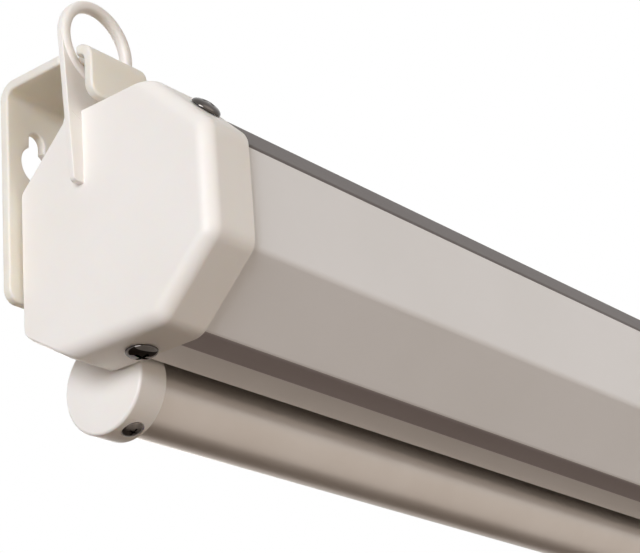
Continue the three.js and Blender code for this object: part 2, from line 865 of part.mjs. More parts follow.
function torsionSpring() {
  const start = plugEnd + clearance + springWireRadius;
  const end = flangeStart + arborLength - anchorLength - springWireRadius;
  const section = Array.from({ length: springSides }, (_, k) => {
    const angle = (2 * Math.PI * k) / springSides;
    return [springWireRadius * Math.cos(angle), springWireRadius * Math.sin(angle)];
  });
  const spring = new THREE.ExtrudeGeometry(shapeOf(section), {
    steps: springTurns * springStepsPerTurn,
    extrudePath: new Helix(springRadius, start, end, springTurns),
  });
  return aboutRoller(spring, 0);
}

// Bottom bar

function barTube() {
  const start = barEndInset + barCapEndWall + clearance;
  const tube = tubeX(barRadius, barRadius - barWall, start, caseLength - start, barDepth, barDrop, largeRoundSides);
  const slot = block(
    [start - overrun, -barDepth - barSlotWidth / 2, -barDrop],
    [caseLength - start + overrun, -barDepth + barSlotWidth / 2, -barDrop + barRadius + overrun],
  );
  return cut(tube, [slot, barScrewHole(), mirrored(barScrewHole())]);
}

// Place on the bar cap's outside where its screw sits, low on the side away from the wall
function barScrewSeat() {
  const angle = THREE.MathUtils.degToRad(barScrewAngle);
  const direction = new THREE.Vector3(0, -Math.cos(angle), -Math.sin(angle));
  const middle = new THREE.Vector3(barEndInset + barScrewInset, -barDepth, -barDrop);
  return { place: middle.addScaledVector(direction, barCapRadius - barScrewRecessDepth), direction };
}

function barScrewHole() {
  const { place, direction } = barScrewSeat();
  const length = barScrewLength + overrun;
  const radius = barScrewRadius + clearance;
  return stand(turnUp([[0, -length], [radius, -length], [radius, overrun], [0, overrun]], holeSides), place, direction);
}

function barScrewRecess() {
  const { place, direction } = barScrewSeat();
  const radius = barScrewHeadRadius + clearance;
  const height = barScrewRecessDepth + overrun;
  return stand(turnUp([[0, 0], [radius, 0], [radius, height], [0, height]]), place, direction);
}

function barScrew() {
  const { place, direction } = barScrewSeat();
  const screw = domedScrew(
    barScrewHeadRadius, barScrewHeadHeight, barScrewRadius, barScrewLength, barScrewCrossSpan, recessDepth,
  );
  return stand(screw, place.addScaledVector(direction, clearance), direction);
}

function barCap() {
  const bore = barRadius + clearance;
  const inner = barEndInset + barCapEndWall;
  const end = barEndInset + barCapLength;
  const edge = Array.from({ length: edgeSteps + 1 }, (_, k) => {
    const angle = ((Math.PI / 2) * k) / edgeSteps;
    return [
      barEndInset + barCapEdgeRadius * (1 - Math.cos(angle)),
      barCapRadius - barCapEdgeRadius * (1 - Math.sin(angle)),
    ];
  });
  const cup = turnX(
    [[barEndInset, 0], ...edge, [end, barCapRadius], [end, bore], [inner, bore], [inner, 0]],
    barDepth, barDrop, largeRoundSides,
  );
  return cut(cup, [barScrewRecess(), barScrewHole()]);
}

// The rod that keeps the hem of the fabric inside the bar
function splineDrop() {
  return barDrop - (barRadius - barWall - clearance) + splineRadius;
}

function fabricSpline() {
  return rodX(splineRadius, fabricInset, caseLength - fabricInset, barDepth, splineDrop(), holeSides);
}

// The fabric between the back of the roll and the bar
function hangingFabric() {
  const half = fabricThickness / 2;
  return block(
    [fabricInset, -barDepth - half, -splineDrop() + splineRadius + clearance],
    [caseLength - fabricInset, -barDepth + half, -rollerDrop],
  );
}

// Pull handle

function pullEye() {
  const middle = caseLength / 2;
  const [from, to] = [middle - pullEyeWidth / 2, middle + pullEyeWidth / 2];
  const pivot = barDrop + pullPivotDrop;
  const body = join([
    block([from, -barDepth - pullEyeRadius, -pivot], [to, -barDepth + pullEyeRadius, -barDrop]),
    rodX(pullEyeRadius, from, to, barDepth, pivot),
  ]);
  const bore = pullPinRadius + runningClearance;
  return cut(body, [
    rodX(barRadius + clearance, from - overrun, to + overrun, barDepth, barDrop, largeRoundSides),
    rodX(bore, from - overrun, to + overrun, barDepth, pivot),
  ]);
}

// A ring with a straight top that turns in the eye
function pullHandle() {
  const middle = caseLength / 2;
  const pivot = barDrop + pullPivotDrop;
  const half = Math.sqrt(pullRingRadius ** 2 - pullRingDrop ** 2);
  const reach = pullRingRadius + pullPinRadius + overrun;
  const ring = new THREE.TorusGeometry(pullRingRadius, pullPinRadius, ringSides, ringSteps);
  ring.rotateX(Math.PI / 2);
  ring.translate(middle, -barDepth, -pivot - pullRingDrop);
  const top = block([middle - reach, -barDepth - reach, -pivot], [middle + reach, -barDepth + reach, -pivot + reach]);
  return join([cut(ring, [top]), rodX(pullPinRadius, middle - half, middle + half, barDepth, pivot)]);
}

// The assembly

const screen = new THREE.Group();
const assembly = new THREE.Group();
assembly.position.set(-bracketMiddle, -clearance - bracketThickness, wallPointDrop);
screen.add(assembly);

function add(name, geometry, finish) {
  const mesh = new THREE.Mesh(geometry, new THREE.MeshStandardMaterial(finish));
  mesh.name = name;
  assembly.add(mesh);
}

function addPair(name, geometry, finish) {
  add(`${name}_left`, geometry, finish);
  add(`${name}_right`, mirrored(geometry), finish);
}

add('case_shell', caseShell(), finishes.casePaint);
addPair('end_cap', endCap(), finishes.capPlastic);
addPair('cap_screw_top', capScrew(topFrontFace), finishes.chrome);
addPair('cap_screw_bottom', capScrew(bottomFace), finishes.chrome);
addPair('wall_bracket', wallBracket(), finishes.bracketPlastic);
addPair('bracket_screw', bracketScrew(), finishes.steel);
add('spear_hanger', spearHanger(), finishes.steel);
add('bush_hanger', bushHanger(), finishes.steel);
add('bearing_bush', bearingBush(), finishes.nylon);
add('spring_arbor', springArbor(), finishes.steel);
add('ratchet_disc', ratchetDisc(), finishes.steel);
add('torsion_spring', torsionSpring(), finishes.springSteel);
add('spring_anchor', springAnchor(), finishes.nylon);
add('roller_tube', rollerTube(), finishes.steel);
add('roller_head', rollerHead(), finishes.nylon);
add('idler_plug', idlerPlug(), finishes.nylon);
add('fabric_roll', fabricRoll(), finishes.screenCloth);
pawlTurns.forEach((turn, k) => add(`pawl_${k + 1}`, pawl(turn), finishes.steel));
add('bar_tube', barTube(), finishes.barMetal);
addPair('bar_cap', barCap(), finishes.capPlastic);
addPair('bar_cap_screw', barScrew(), finishes.steel);
add('fabric_spline', fabricSpline(), finishes.nylon);
add('hanging_fabric', hangingFabric(), finishes.screenCloth);
add('pull_eye', pullEye(), finishes.capPlastic);
add('pull_handle', pullHandle(), finishes.capPlastic);

export default screen;
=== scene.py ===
# %% [markdown]
# # A pull-down projection screen, rolled up
#
# The real object is a long folded steel case with a moulded cap on each end. A sprung
# roller inside winds the screen cloth, which hangs out of the open bottom in a round bar.
# This script dresses the measured CAD model of it: the model is loaded as a fixed frame,
# and each piece that a viewer can see is built again with finer edges and a real finish.
# The pieces could be cut from the CAD meshes, but those have few faces, so building each
# one anew from the same sizes gives smoother corners and better highlights.

# %% Load the frame
import math

import bmesh
import bpy
from mathutils import Matrix, Vector


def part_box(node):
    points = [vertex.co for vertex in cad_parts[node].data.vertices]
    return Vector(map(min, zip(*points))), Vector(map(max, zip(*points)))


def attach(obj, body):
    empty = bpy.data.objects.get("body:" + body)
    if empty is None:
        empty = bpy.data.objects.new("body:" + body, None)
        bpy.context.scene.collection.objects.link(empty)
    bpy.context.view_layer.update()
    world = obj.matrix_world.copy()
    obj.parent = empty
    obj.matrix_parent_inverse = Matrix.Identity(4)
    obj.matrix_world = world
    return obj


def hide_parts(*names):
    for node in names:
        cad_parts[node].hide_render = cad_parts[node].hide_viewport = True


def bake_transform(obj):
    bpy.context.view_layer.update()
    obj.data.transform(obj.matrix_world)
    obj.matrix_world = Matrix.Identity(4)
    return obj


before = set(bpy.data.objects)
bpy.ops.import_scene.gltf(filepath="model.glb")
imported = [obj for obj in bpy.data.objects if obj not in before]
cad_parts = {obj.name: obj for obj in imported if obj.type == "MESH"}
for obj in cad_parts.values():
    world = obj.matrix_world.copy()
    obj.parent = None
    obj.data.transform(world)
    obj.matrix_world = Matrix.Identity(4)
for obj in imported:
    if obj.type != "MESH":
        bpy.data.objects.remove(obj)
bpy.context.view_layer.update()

# %% [markdown]
# ## The camera
#
# The photograph looks up at the left end of the case from in front and below. Where
# the eight corners of the end cap and the long edges lie in the picture gives the viewing
# direction, the distance and the lens, so the camera is set by those numbers and not by eye.
# Its tilt is a roll about the line of sight.

# %% Camera
IMAGE_WIDTH = 640
SENSOR_WIDTH = 36.0
FOCAL_PIXELS = 1909.4
CAMERA_PLACE = Vector((-0.3552, -0.3724, -0.2376))
AZIMUTH, ELEVATION, ROLL = (math.radians(angle) for angle in (-52.953, -23.04, -4.954))

towards_camera = Vector((
    math.sin(AZIMUTH) * math.cos(ELEVATION),
    -math.cos(AZIMUTH) * math.cos(ELEVATION),
    math.sin(ELEVATION),
))
level_right = Vector((math.cos(AZIMUTH), math.sin(AZIMUTH), 0))
level_up = towards_camera.cross(level_right)
camera_right = math.cos(ROLL) * level_right + math.sin(ROLL) * level_up
camera_up = math.cos(ROLL) * level_up - math.sin(ROLL) * level_right

camera_data = bpy.data.cameras.new("camera")
camera_data.sensor_width = SENSOR_WIDTH
camera_data.lens = FOCAL_PIXELS / IMAGE_WIDTH * SENSOR_WIDTH
camera_data.clip_start = 0.01
camera = bpy.data.objects.new("camera", camera_data)
bpy.context.scene.collection.objects.link(camera)
axes = Matrix((camera_right, camera_up, towards_camera)).transposed()
camera.matrix_world = Matrix.Translation(CAMERA_PLACE) @ axes.to_4x4()
bpy.context.scene.camera = camera
print(f"lens {camera_data.lens:.1f} mm")

# %% [markdown]
# ## The measuring frame
#
# The drawing of the object gives its lengths in millimetres, from the outer face of
# the left end cap (X), the flat back of the caps (Y, towards the wall) and the top of the
# caps (Z). The shape of each piece is written down in that frame and moved into the model's own
# frame, which has its origin on the wall and is in metres, when its mesh is made.

# %% Lengths that several pieces share
MM = 0.001
DRAWING_ORIGIN = Vector((-7.7, -3.4, 27.0))
CASE_LENGTH = 1700.0
CLEARANCE = 0.3
BEND_STEPS = 8


def to_model(point):
    return (Vector(point) + DRAWING_ORIGIN) * MM


cap_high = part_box("end_cap_left")[1]
print(f"back of the cap: {to_model((0, 0, 0)).y:.4f} m here, {cap_high.y:.4f} m in the CAD")

# %% [markdown]
# ## Outlines
#
# Nearly every part here is an extrusion, a turned part or a bent sheet, so a few
# helpers that draw flat outlines do most of the work. An arc goes from one direction to
# another about a centre. A rounded polygon replaces each corner by such an arc, and a strip
# follows a path of corners with a given thickness and bend radius, as folded sheet does.

# %% Outline helpers
def right_normal(start, end):
    along = (Vector(end) - Vector(start)).normalized()
    return Vector((along.y, -along.x))


def turn_between(first, second):
    return math.atan2(first.x * second.y - first.y * second.x, first.dot(second))


def arc(centre, radius, first, second, steps=BEND_STEPS):
    start = math.atan2(first.y, first.x)
    turn = turn_between(first, second)
    angles = [start + turn * k / steps for k in range(steps + 1)]
    return [(centre[0] + radius * math.cos(a), centre[1] + radius * math.sin(a)) for a in angles]


def circle(centre, radius, sides=48):
    angles = [2 * math.pi * k / sides for k in range(sides)]
    return [(centre[0] + radius * math.cos(a), centre[1] + radius * math.sin(a)) for a in angles]


def rounded_polygon(corners, insets, radius):
    """The polygon with each side moved in by its own inset, and its corners rounded."""
    outline = []
    for i, corner in enumerate(corners):
        before, after = corners[i - 1], corners[(i + 1) % len(corners)]
        first, second = right_normal(before, corner), right_normal(corner, after)
        turn = first.x * second.y - first.y * second.x
        along, onward = insets[i - 1] + radius, insets[i] + radius
        centre = (
            corner[0] - (along * second.y - onward * first.y) / turn,
            corner[1] - (onward * first.x - along * second.x) / turn,
        )
        outline += arc(centre, radius, first, second)
    return outline


def inner_corner(before, corner, after, distance):
    """The point that lies a distance to the left of both lines through a corner."""
    first, second = right_normal(before, corner), right_normal(corner, after)
    shift = (first + second) * (distance / (1 + first.dot(second)))
    return (corner[0] - shift.x, corner[1] - shift.y)


def strip_outline(corners, thickness, bend_radius):
    """A bent strip. The corners lie on its right-hand face, and the thickness is on the left."""
    right, left = [], []
    for i, corner in enumerate(corners):
        if i in (0, len(corners) - 1):
            pair = corners[:2] if i == 0 else corners[-2:]
            normal = right_normal(*pair)
            right.append(corner)
            left.append((corner[0] - normal.x * thickness, corner[1] - normal.y * thickness))
            continue
        before, after = corners[i - 1], corners[i + 1]
        first, second = right_normal(before, corner), right_normal(corner, after)
        if turn_between(first, second) > 0:
            centre = inner_corner(before, corner, after, bend_radius)
            right += arc(centre, bend_radius, first, second)
            left += arc(centre, bend_radius - thickness, first, second)
        else:
            centre = inner_corner(before, corner, after, thickness - bend_radius)
            right += arc(centre, bend_radius - thickness, -first, -second)
            left += arc(centre, bend_radius, -first, -second)
    return right + left[::-1]


# %% [markdown]
# ## From outlines to meshes
#
# Four ways turn outlines into solids: a loft joins rings of points, a turned part
# sweeps a profile round an axis, a loop tube carries a section round a closed path, and a
# rounded plate fills outlines, holes included, and rounds their edges. The plate uses a
# filled Blender curve, because the curve's own bevel rounds every edge evenly, which the
# Bevel modifier often can't do around holes.

# %% Mesh helpers
POLE_RADIUS = 1e-4


def loft(rings):
    """Rings of equally many points, joined side by side and closed at both ends."""
    count = len(rings[0])
    points = [point for ring in rings for point in ring]
    faces = [list(range(count))[::-1], list(range(len(points) - count, len(points)))]
    for r in range(len(rings) - 1):
        for i in range(count):
            a, b = r * count + i, r * count + (i + 1) % count
            faces.append([a, b, b + count, a + count])
    return points, faces


def prism(outline, start, end):
    """A [y, z] outline, carried along X from start to end."""
    return loft([[(x, y, z) for y, z in outline] for x in (start, end)])


def turned(profile, sides=64):
    """A profile of (height, radius) points that starts and ends on the Z axis."""
    rings = [
        [(*point, height) for point in circle((0, 0), max(radius, POLE_RADIUS), sides)]
        for height, radius in profile
    ]
    return loft(rings)


def loop_tube(path, section):
    """A section of (outward, sideways) points, carried round a closed [x, z] path."""
    rings = []
    for i, point in enumerate(path):
        tangent = (Vector(path[(i + 1) % len(path)]) - Vector(path[i - 1])).normalized()
        outward = Vector((tangent.y, -tangent.x))
        rings.append([(point[0] + outward.x * u, v, point[1] + outward.y * u) for u, v in section])
    points, faces = loft(rings)
    count, last = len(section), len(points) - len(section)
    seam = [[last + i, last + (i + 1) % count, (i + 1) % count, i] for i in range(count)]
    return points, faces[2:] + seam


def rounded_plate(outlines, thickness, edge):
    """Closed outlines, the first outside and the others holes, as a plate about z = 0."""
    curve = bpy.data.curves.new("outline", "CURVE")
    curve.dimensions = "2D"
    curve.fill_mode = "BOTH"
    curve.extrude = thickness / 2 - edge
    curve.bevel_depth = edge
    curve.bevel_resolution = 3
    curve.offset = -edge
    for outline in outlines:
        spline = curve.splines.new("POLY")
        spline.points.add(len(outline) - 1)
        for point, (u, v) in zip(spline.points, outline):
            point.co = (u, v, 0, 1)
        spline.use_cyclic_u = True
    holder = bpy.data.objects.new("outline", curve)
    bpy.context.scene.collection.objects.link(holder)
    bpy.context.view_layer.update()
    mesh = bpy.data.meshes.new_from_object(holder.evaluated_get(bpy.context.evaluated_depsgraph_get()))
    bpy.data.objects.remove(holder)
    points = [tuple(vertex.co) for vertex in mesh.vertices]
    faces = [list(polygon.vertices) for polygon in mesh.polygons]
    bpy.data.meshes.remove(mesh)
    return points, faces


def placed(shape, place, direction):
    """Turns a shape's Z axis to a direction and sets it on a place."""
    turn = Vector((0, 0, 1)).rotation_difference(Vector(direction))
    points, faces = shape
    return [turn @ Vector(point) + Vector(place) for point in points], faces


# %% [markdown]
# ## From meshes to pieces
#
# A piece is a mesh object in the model's frame. Its doubled points are merged and its
# faces are turned outwards, so that it is one clean closed surface. Big flat faces
# next to small rounded edges would be shaded wrongly by plain smooth shading, so each piece gets
# weighted normals, which keep the flats flat. The parts of the right end are mirror images.

# %% Piece helpers
SHARP_ANGLE = math.radians(35)
MERGE_DISTANCE = 1e-7


def new_object(name, shape):
    points, faces = shape
    mesh = bpy.data.meshes.new(name)
    mesh.from_pydata([to_model(point) for point in points], [], faces)
    work = bmesh.new()
    work.from_mesh(mesh)
    bmesh.ops.remove_doubles(work, verts=work.verts, dist=MERGE_DISTANCE)
    bmesh.ops.recalc_face_normals(work, faces=work.faces)
    work.to_mesh(mesh)
    work.free()
    piece = bpy.data.objects.new(name, mesh)
    bpy.context.scene.collection.objects.link(piece)
    return piece


def apply_modifiers(piece):
    bpy.context.view_layer.update()
    shaped = bpy.data.meshes.new_from_object(piece.evaluated_get(bpy.context.evaluated_depsgraph_get()))
    piece.modifiers.clear()
    piece.data = shaped


def combine(piece, operation, tools):
    """Joins the tools to the piece ("UNION") or cuts them out of it ("DIFFERENCE")."""
    for tool in tools:
        change = piece.modifiers.new(tool.name, "BOOLEAN")
        change.operation = operation
        change.object = tool
    apply_modifiers(piece)
    for tool in tools:
        bpy.data.objects.remove(tool)
    return piece


def mirrored(piece, name):
    """The same piece at the other end of the case."""
    twin = bpy.data.objects.new(name, piece.data.copy())
    bpy.context.scene.collection.objects.link(twin)
    middle = to_model((CASE_LENGTH / 2, 0, 0)).x
    to_middle, from_middle = Matrix.Translation((-middle, 0, 0)), Matrix.Translation((middle, 0, 0))
    twin.data.transform(from_middle @ Matrix.Scale(-1, 4, (1, 0, 0)) @ to_middle)
    twin.data.flip_normals()
    return twin


def finish_piece(piece, body, slot, node, *materials):
    """Shades the piece, gives it its finish and puts it on its body in place of a CAD node."""
    piece.data.materials.clear()
    for material in materials:
        piece.data.materials.append(material)
    piece.data.shade_smooth()
    piece.data.set_sharp_from_angle(angle=SHARP_ANGLE)
    weighted = piece.modifiers.new("flat faces stay flat", "WEIGHTED_NORMAL")
    weighted.keep_sharp = True
    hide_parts(node)
    if body:
        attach(piece, body)
    low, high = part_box(node)
    points = [vertex.co for vertex in piece.data.vertices]
    reach = [max(low[k] - min(p[k] for p in points), max(p[k] for p in points) - high[k]) for k in range(3)]
    work = bmesh.new()
    work.from_mesh(piece.data)
    open_edges = sum(1 for edge in work.edges if len(edge.link_faces) != 2)
    work.free()
    print(f"{piece.name}: {len(piece.data.polygons)} faces, {open_edges} open edges, "
          f"outside the CAD part by {max(reach) / MM:.2f} mm")


def finish_pair(piece, body, slot, node, *materials):
    """Finishes a piece of the left end, and its mirror image at the right end."""
    twin = mirrored(piece, piece.name.replace("left", "right"))
    finish_piece(piece, body, slot, node + "_left", *materials)
    finish_piece(twin, body, slot, node + "_right", *materials)


# %% [markdown]
# ## Colours and nodes
#
# Colours are written as sRGB hex values, as a colour picker shows them. Blender
# calculates with linear light, so one function converts them. Another adds a node to a
# material, sets its properties and fills its sockets with values or with links. Every texture
# takes its position from object coordinates, which are metres here, so a texture scale is one over
# the size of a grain in metres.

# %% Colour and node helpers
def linear(code):
    parts = [int(code[i:i + 2], 16) / 255 for i in (1, 3, 5)]
    return (*(p / 12.92 if p <= 0.04045 else ((p + 0.055) / 1.055) ** 2.4 for p in parts), 1.0)


def add_node(tree, kind, sockets=(), **settings):
    node = tree.nodes.new(kind)
    for name, value in settings.items():
        setattr(node, name, value)
    for name, value in dict(sockets).items():
        if isinstance(value, bpy.types.NodeSocket):
            tree.links.new(value, node.inputs[name])
        else:
            node.inputs[name].default_value = value
    return node


def grains_of(millimetres):
    return 1 / (millimetres * MM)


def new_material(name, light, dark, *, patch_size, roughness, grain_size, grain_height,
                 stretch=(1, 1, 1), **sockets):
    """A surface whose colour drifts from light to dark over patches, with a fine raised grain."""
    material = bpy.data.materials.new(name)
    material.use_nodes = True
    tree = material.node_tree
    shader = tree.nodes["Principled BSDF"]
    place = add_node(tree, "ShaderNodeTexCoord").outputs["Object"]
    grain_place = add_node(tree, "ShaderNodeMapping", {"Vector": place, "Scale": stretch}).outputs["Vector"]
    patches = add_node(tree, "ShaderNodeTexNoise",
                       {"Vector": place, "Scale": grains_of(patch_size), "Detail": 3.0})
    grain = add_node(tree, "ShaderNodeTexNoise",
                     {"Vector": grain_place, "Scale": grains_of(grain_size), "Detail": 2.0})
    drift = add_node(tree, "ShaderNodeMapRange",
                     {"Value": patches.outputs["Fac"], "From Min": 0.3, "From Max": 0.7})
    colour = add_node(tree, "ShaderNodeMix", data_type="RGBA", sockets={
        "Factor": drift.outputs["Result"], 6: linear(light), 7: linear(dark)})
    gloss = add_node(tree, "ShaderNodeMapRange",
                     {"Value": grain.outputs["Fac"], "To Min": roughness - 0.05, "To Max": roughness + 0.05})
    relief = add_node(tree, "ShaderNodeBump",
                      {"Height": grain.outputs["Fac"], "Distance": grain_height * MM, "Strength": 1.0})
    tree.links.new(colour.outputs[2], shader.inputs["Base Color"])
    tree.links.new(gloss.outputs["Result"], shader.inputs["Roughness"])
    tree.links.new(relief.outputs["Normal"], shader.inputs["Normal"])
    for socket, value in sockets.items():
        shader.inputs[socket.replace("_", " ")].default_value = value
    print("material", name)
    return material


# %% [markdown]
# ## Moulded plastics
#
# The end caps, the hanging ring, the brackets and the handle are ABS, an ivory white
# plastic that is moulded against a finely spark-eroded steel mould. That gives the eye a
# soft sheen without sharp reflections, and a grain of about 0.2 mm that is just felt. The
# grain is drawn at 0.5 mm so that it shows at all. ABS lets a little light in, which
# warms its shaded edges. The bracket is a yellower grade. Nylon is greyer and
# more wax-like, and carries the turning parts.

# %% Plastics
moulded_abs = new_material(
    "moulded_abs", "#f5f1ec", "#f2ede6",
    patch_size=40, roughness=0.42, grain_size=0.5, grain_height=0.004,
    IOR=1.54, Subsurface_Weight=0.12, Subsurface_Radius=(1.0, 0.55, 0.3), Subsurface_Scale=0.002,
)
ivory_bracket_abs = new_material(
    "ivory_bracket_abs", "#f6efe3", "#f3eadc",
    patch_size=30, roughness=0.45, grain_size=0.5, grain_height=0.004,
    IOR=1.54, Subsurface_Weight=0.5, Subsurface_Radius=(1.0, 0.75, 0.5), Subsurface_Scale=0.008,
)
turned_nylon = new_material(
    "turned_nylon", "#dedcd2", "#d5d2c6",
    patch_size=12, roughness=0.5, grain_size=0.3, grain_height=0.003,
    IOR=1.53, Subsurface_Weight=0.1, Subsurface_Scale=0.001,
)

# %% [markdown]
# ## Painted sheet steel
#
# The case is rolled steel sheet with a baked polyester powder coat. A powder coat
# melts into a skin that is not quite flat, the orange peel, with bumps some 1.5 mm apart, and
# it has a satin gloss. Its own colour is a pale grey. A dull graphite on the faces that look up,
# and a lighter slate on the strip under the front edge, are painted shade.

# %% Paints
pale_powder_coat = new_material(
    "pale_powder_coat", "#f0efef", "#ecebea",
    patch_size=60, roughness=0.36, grain_size=1.5, grain_height=0.006,
    IOR=1.5,
)
# Painted shade: a dark grey for the faces of the case that look up.
upward_painted_shade_coat = new_material(
    "upward_painted_shade_coat", "#746e6c", "#6e6866",
    patch_size=60, roughness=0.55, grain_size=1.5, grain_height=0.004,
    IOR=1.5, Specular_IOR_Level=0.08,
)
# Painted shade: a mid grey for the strip under the front edge.
underside_painted_shade_coat = new_material(
    "underside_painted_shade_coat", "#aea6a8", "#a9a1a3",
    patch_size=60, roughness=0.5, grain_size=1.5, grain_height=0.004,
    IOR=1.5, Specular_IOR_Level=0.2,
)

# %% [markdown]
# ## Metals
#
# The bar is drawn aluminium tube, etched and anodised: a satin metal with faint
# lengthwise drawing lines, here stretched along X. The pan-head screws are polished chrome,
# given a dark colour that paints the reflection of a dark room, so they look black with small
# hard highlights. The small screws in the bar are zinc plated and passivated dark. What is
# inside is galvanised steel, with dull crystals a few millimetres wide, and the spring is blued wire.

# %% Metal finishes
anodised_aluminium = new_material(
    "anodised_aluminium", "#d9d1c9", "#d3cac1",
    patch_size=25, roughness=0.36, grain_size=0.6, grain_height=0.004,
    stretch=(0.02, 1, 1), Metallic=0.5,
)
# Polished chrome, whose dark colour is a painted reflection of a dark room.
black_nickel = new_material(
    "black_nickel", "#5c5754", "#4e4a47",
    patch_size=5, roughness=0.1, grain_size=0.8, grain_height=0.001,
    Metallic=1.0,
)
dark_zinc = new_material(
    "dark_zinc", "#6f6862", "#5a544f",
    patch_size=2, roughness=0.35, grain_size=0.4, grain_height=0.003,
    Metallic=1.0,
)
galvanised_steel = new_material(
    "galvanised_steel", "#a6a8aa", "#8d9092",
    patch_size=4, roughness=0.42, grain_size=1.0, grain_height=0.003,
    Metallic=1.0,
)
blued_spring_steel = new_material(
    "blued_spring_steel", "#6a6c72", "#54555a",
    patch_size=6, roughness=0.35, grain_size=0.4, grain_height=0.002,
    Metallic=1.0,
)

# %% [markdown]
# ## The screen cloth
#
# Projection cloth is woven glass fibre or polyester with a matte white PVC coat. The
# weave shows through the coat as a grid of threads about 0.5 mm apart. Two wave textures
# across each other make that grid: one for the threads that go down and one for those that
# go across. Their product is the height of the cloth.

# %% Cloth
THREAD_SPACING = 0.5
WEAVE_HEIGHT = 0.02

matte_screen_cloth = new_material(
    "matte_screen_cloth", "#f4f4f1", "#f2f2ee",
    patch_size=200, roughness=0.8, grain_size=0.6, grain_height=0.002,
    IOR=1.45, Sheen_Weight=0.15, Sheen_Roughness=0.6,
)
tree = matte_screen_cloth.node_tree
cloth_place = add_node(tree, "ShaderNodeTexCoord").outputs["Object"]
# A wave texture repeats every pi / 10 of its scaled distance.
wave_scale = grains_of(THREAD_SPACING) * math.pi / 10
wave_sockets = {"Vector": cloth_place, "Scale": wave_scale}
threads = [
    add_node(tree, "ShaderNodeTexWave", wave_sockets, bands_direction=direction)
    for direction in ("X", "Z")
]
weave = add_node(tree, "ShaderNodeMath", {0: threads[0].outputs["Fac"], 1: threads[1].outputs["Fac"]},
                 operation="MULTIPLY")
weave_relief = add_node(tree, "ShaderNodeBump",
                        {"Height": weave.outputs["Value"], "Distance": WEAVE_HEIGHT * MM})
tree.links.new(weave_relief.outputs["Normal"], tree.nodes["Principled BSDF"].inputs["Normal"])
print(f"threads {THREAD_SPACING} mm apart")

# %% [markdown]
# ## The case sheet
#
# The sheet follows the inside of the end caps' octagon from the lower edge of its
# back, over the top and down the front. Its bottom is two narrow strips with a crease
# between them, and stops short of the bar. It is one strip outline, folded like the real sheet
# and carried along the case. Where a face points decides its paint: the darker paints on the
# faces that look up and on the strip under the front edge are painted shade.

# %% Case sheet
CAP_CORNERS = [
    (0, -18.2), (-19.6, 0), (-52.6, 0), (-72.6, -20.9),
    (-72.6, -54.1), (-51.5, -74), (-17.2, -74), (0, -63),
]
CAP_BEND = 7.0
SHEET_INSET = 1.9
SHEET_THICKNESS = 0.8
SHEET_BEND = 3.0
SHEET_START = 3.3
SHEET_CORNERS = 6
BACK_PANEL_END = -58.25
LIP_EDGE = -27.9
CREASE = -38.2
CREASE_RISE = 1.3
UPWARD = 0.1
DOWNWARD = -0.9
UNDERSIDE = -69.0

sheet_corners = [
    inner_corner(CAP_CORNERS[i - 1], CAP_CORNERS[i], CAP_CORNERS[(i + 1) % len(CAP_CORNERS)], SHEET_INSET)
    for i in range(SHEET_CORNERS)
]
sheet_bottom = CAP_CORNERS[SHEET_CORNERS - 1][1] + SHEET_INSET
sheet_path = [
    (-SHEET_INSET, BACK_PANEL_END), *sheet_corners,
    (CREASE, sheet_bottom + CREASE_RISE), (LIP_EDGE, sheet_bottom),
]
case_sheet = new_object("case_sheet", prism(
    strip_outline(sheet_path, SHEET_THICKNESS, SHEET_BEND), SHEET_START, CASE_LENGTH - SHEET_START))
finish_piece(case_sheet, "case", "case_paint", "case_shell",
             pale_powder_coat, upward_painted_shade_coat, underside_painted_shade_coat)
crease_y = to_model((0, CREASE, 0)).y
underside = to_model((0, 0, UNDERSIDE)).z
# Painted shade by direction: faces that look up get the dark grey, and downward faces low on the case in
# front of the crease get the mid grey.
for face in case_sheet.data.polygons:
    if face.normal.z > UPWARD:
        face.material_index = 1
    elif face.normal.z < DOWNWARD and face.center.y < crease_y and face.center.z < underside:
        face.material_index = 2

# %% [markdown]
# ## The end caps
#
# Each cap is a moulded tray with eight sides. Its closed end has a generous rounding
# at the front and below, and only a broken edge on top and at the back, where the bracket and
# the wall are. The loft goes up the outside in thin rings that follow a quarter circle,
# turns at the rim, and goes back down the inside.

# %% End cap
CAP_EDGE = 4.5
CAP_BACK_EDGE = 1.0
CAP_SKIRT = 18.2
CAP_WALL = 1.6
CAP_END_WALL = 3.0
RIM_ROUNDING = 0.4
EDGE_STEPS = 10

edge_insets = [CAP_BACK_EDGE] * 2 + [CAP_EDGE] * 4 + [CAP_BACK_EDGE] * 2
cap_rings = []
for step in range(EDGE_STEPS + 1):
    angle = math.pi / 2 * step / EDGE_STEPS
    share = 1 - math.sin(angle)
    insets = [inset * share for inset in edge_insets]
    outline = rounded_polygon(CAP_CORNERS, insets, CAP_BEND - CAP_EDGE * share)
    cap_rings.append([(CAP_EDGE * (1 - math.cos(angle)), y, z) for y, z in outline])
rim_and_inside = [
    (CAP_SKIRT - RIM_ROUNDING, 0), (CAP_SKIRT, RIM_ROUNDING), (CAP_SKIRT, CAP_WALL), (CAP_END_WALL, CAP_WALL),
]
for x, inset in rim_and_inside:
    outline = rounded_polygon(CAP_CORNERS, [inset] * len(CAP_CORNERS), CAP_BEND - inset)
    cap_rings.append([(x, y, z) for y, z in outline])
end_cap = new_object("cap_moulding_left", loft(cap_rings))
print("rings in the cap's loft:", len(cap_rings))

# %% [markdown]
# ## Ring, tongue and web
#
# The hanging ring is a tube of rounded square section, its tongue is a plate that
# narrows down the end face, and a web fills the space between the ring and the cap. They
# could be pieces of their own, but they are joined to the cap, because they are one moulding.

# %% Hanging ring
BRACKET_MIDDLE = 7.7
RING_RADIUS = 12.8
RING_SECTION = 1.8
RING_DEPTH = -25.3
RING_RISE = 23.4
RING_SIDES = 96
SQUARENESS = 2.6


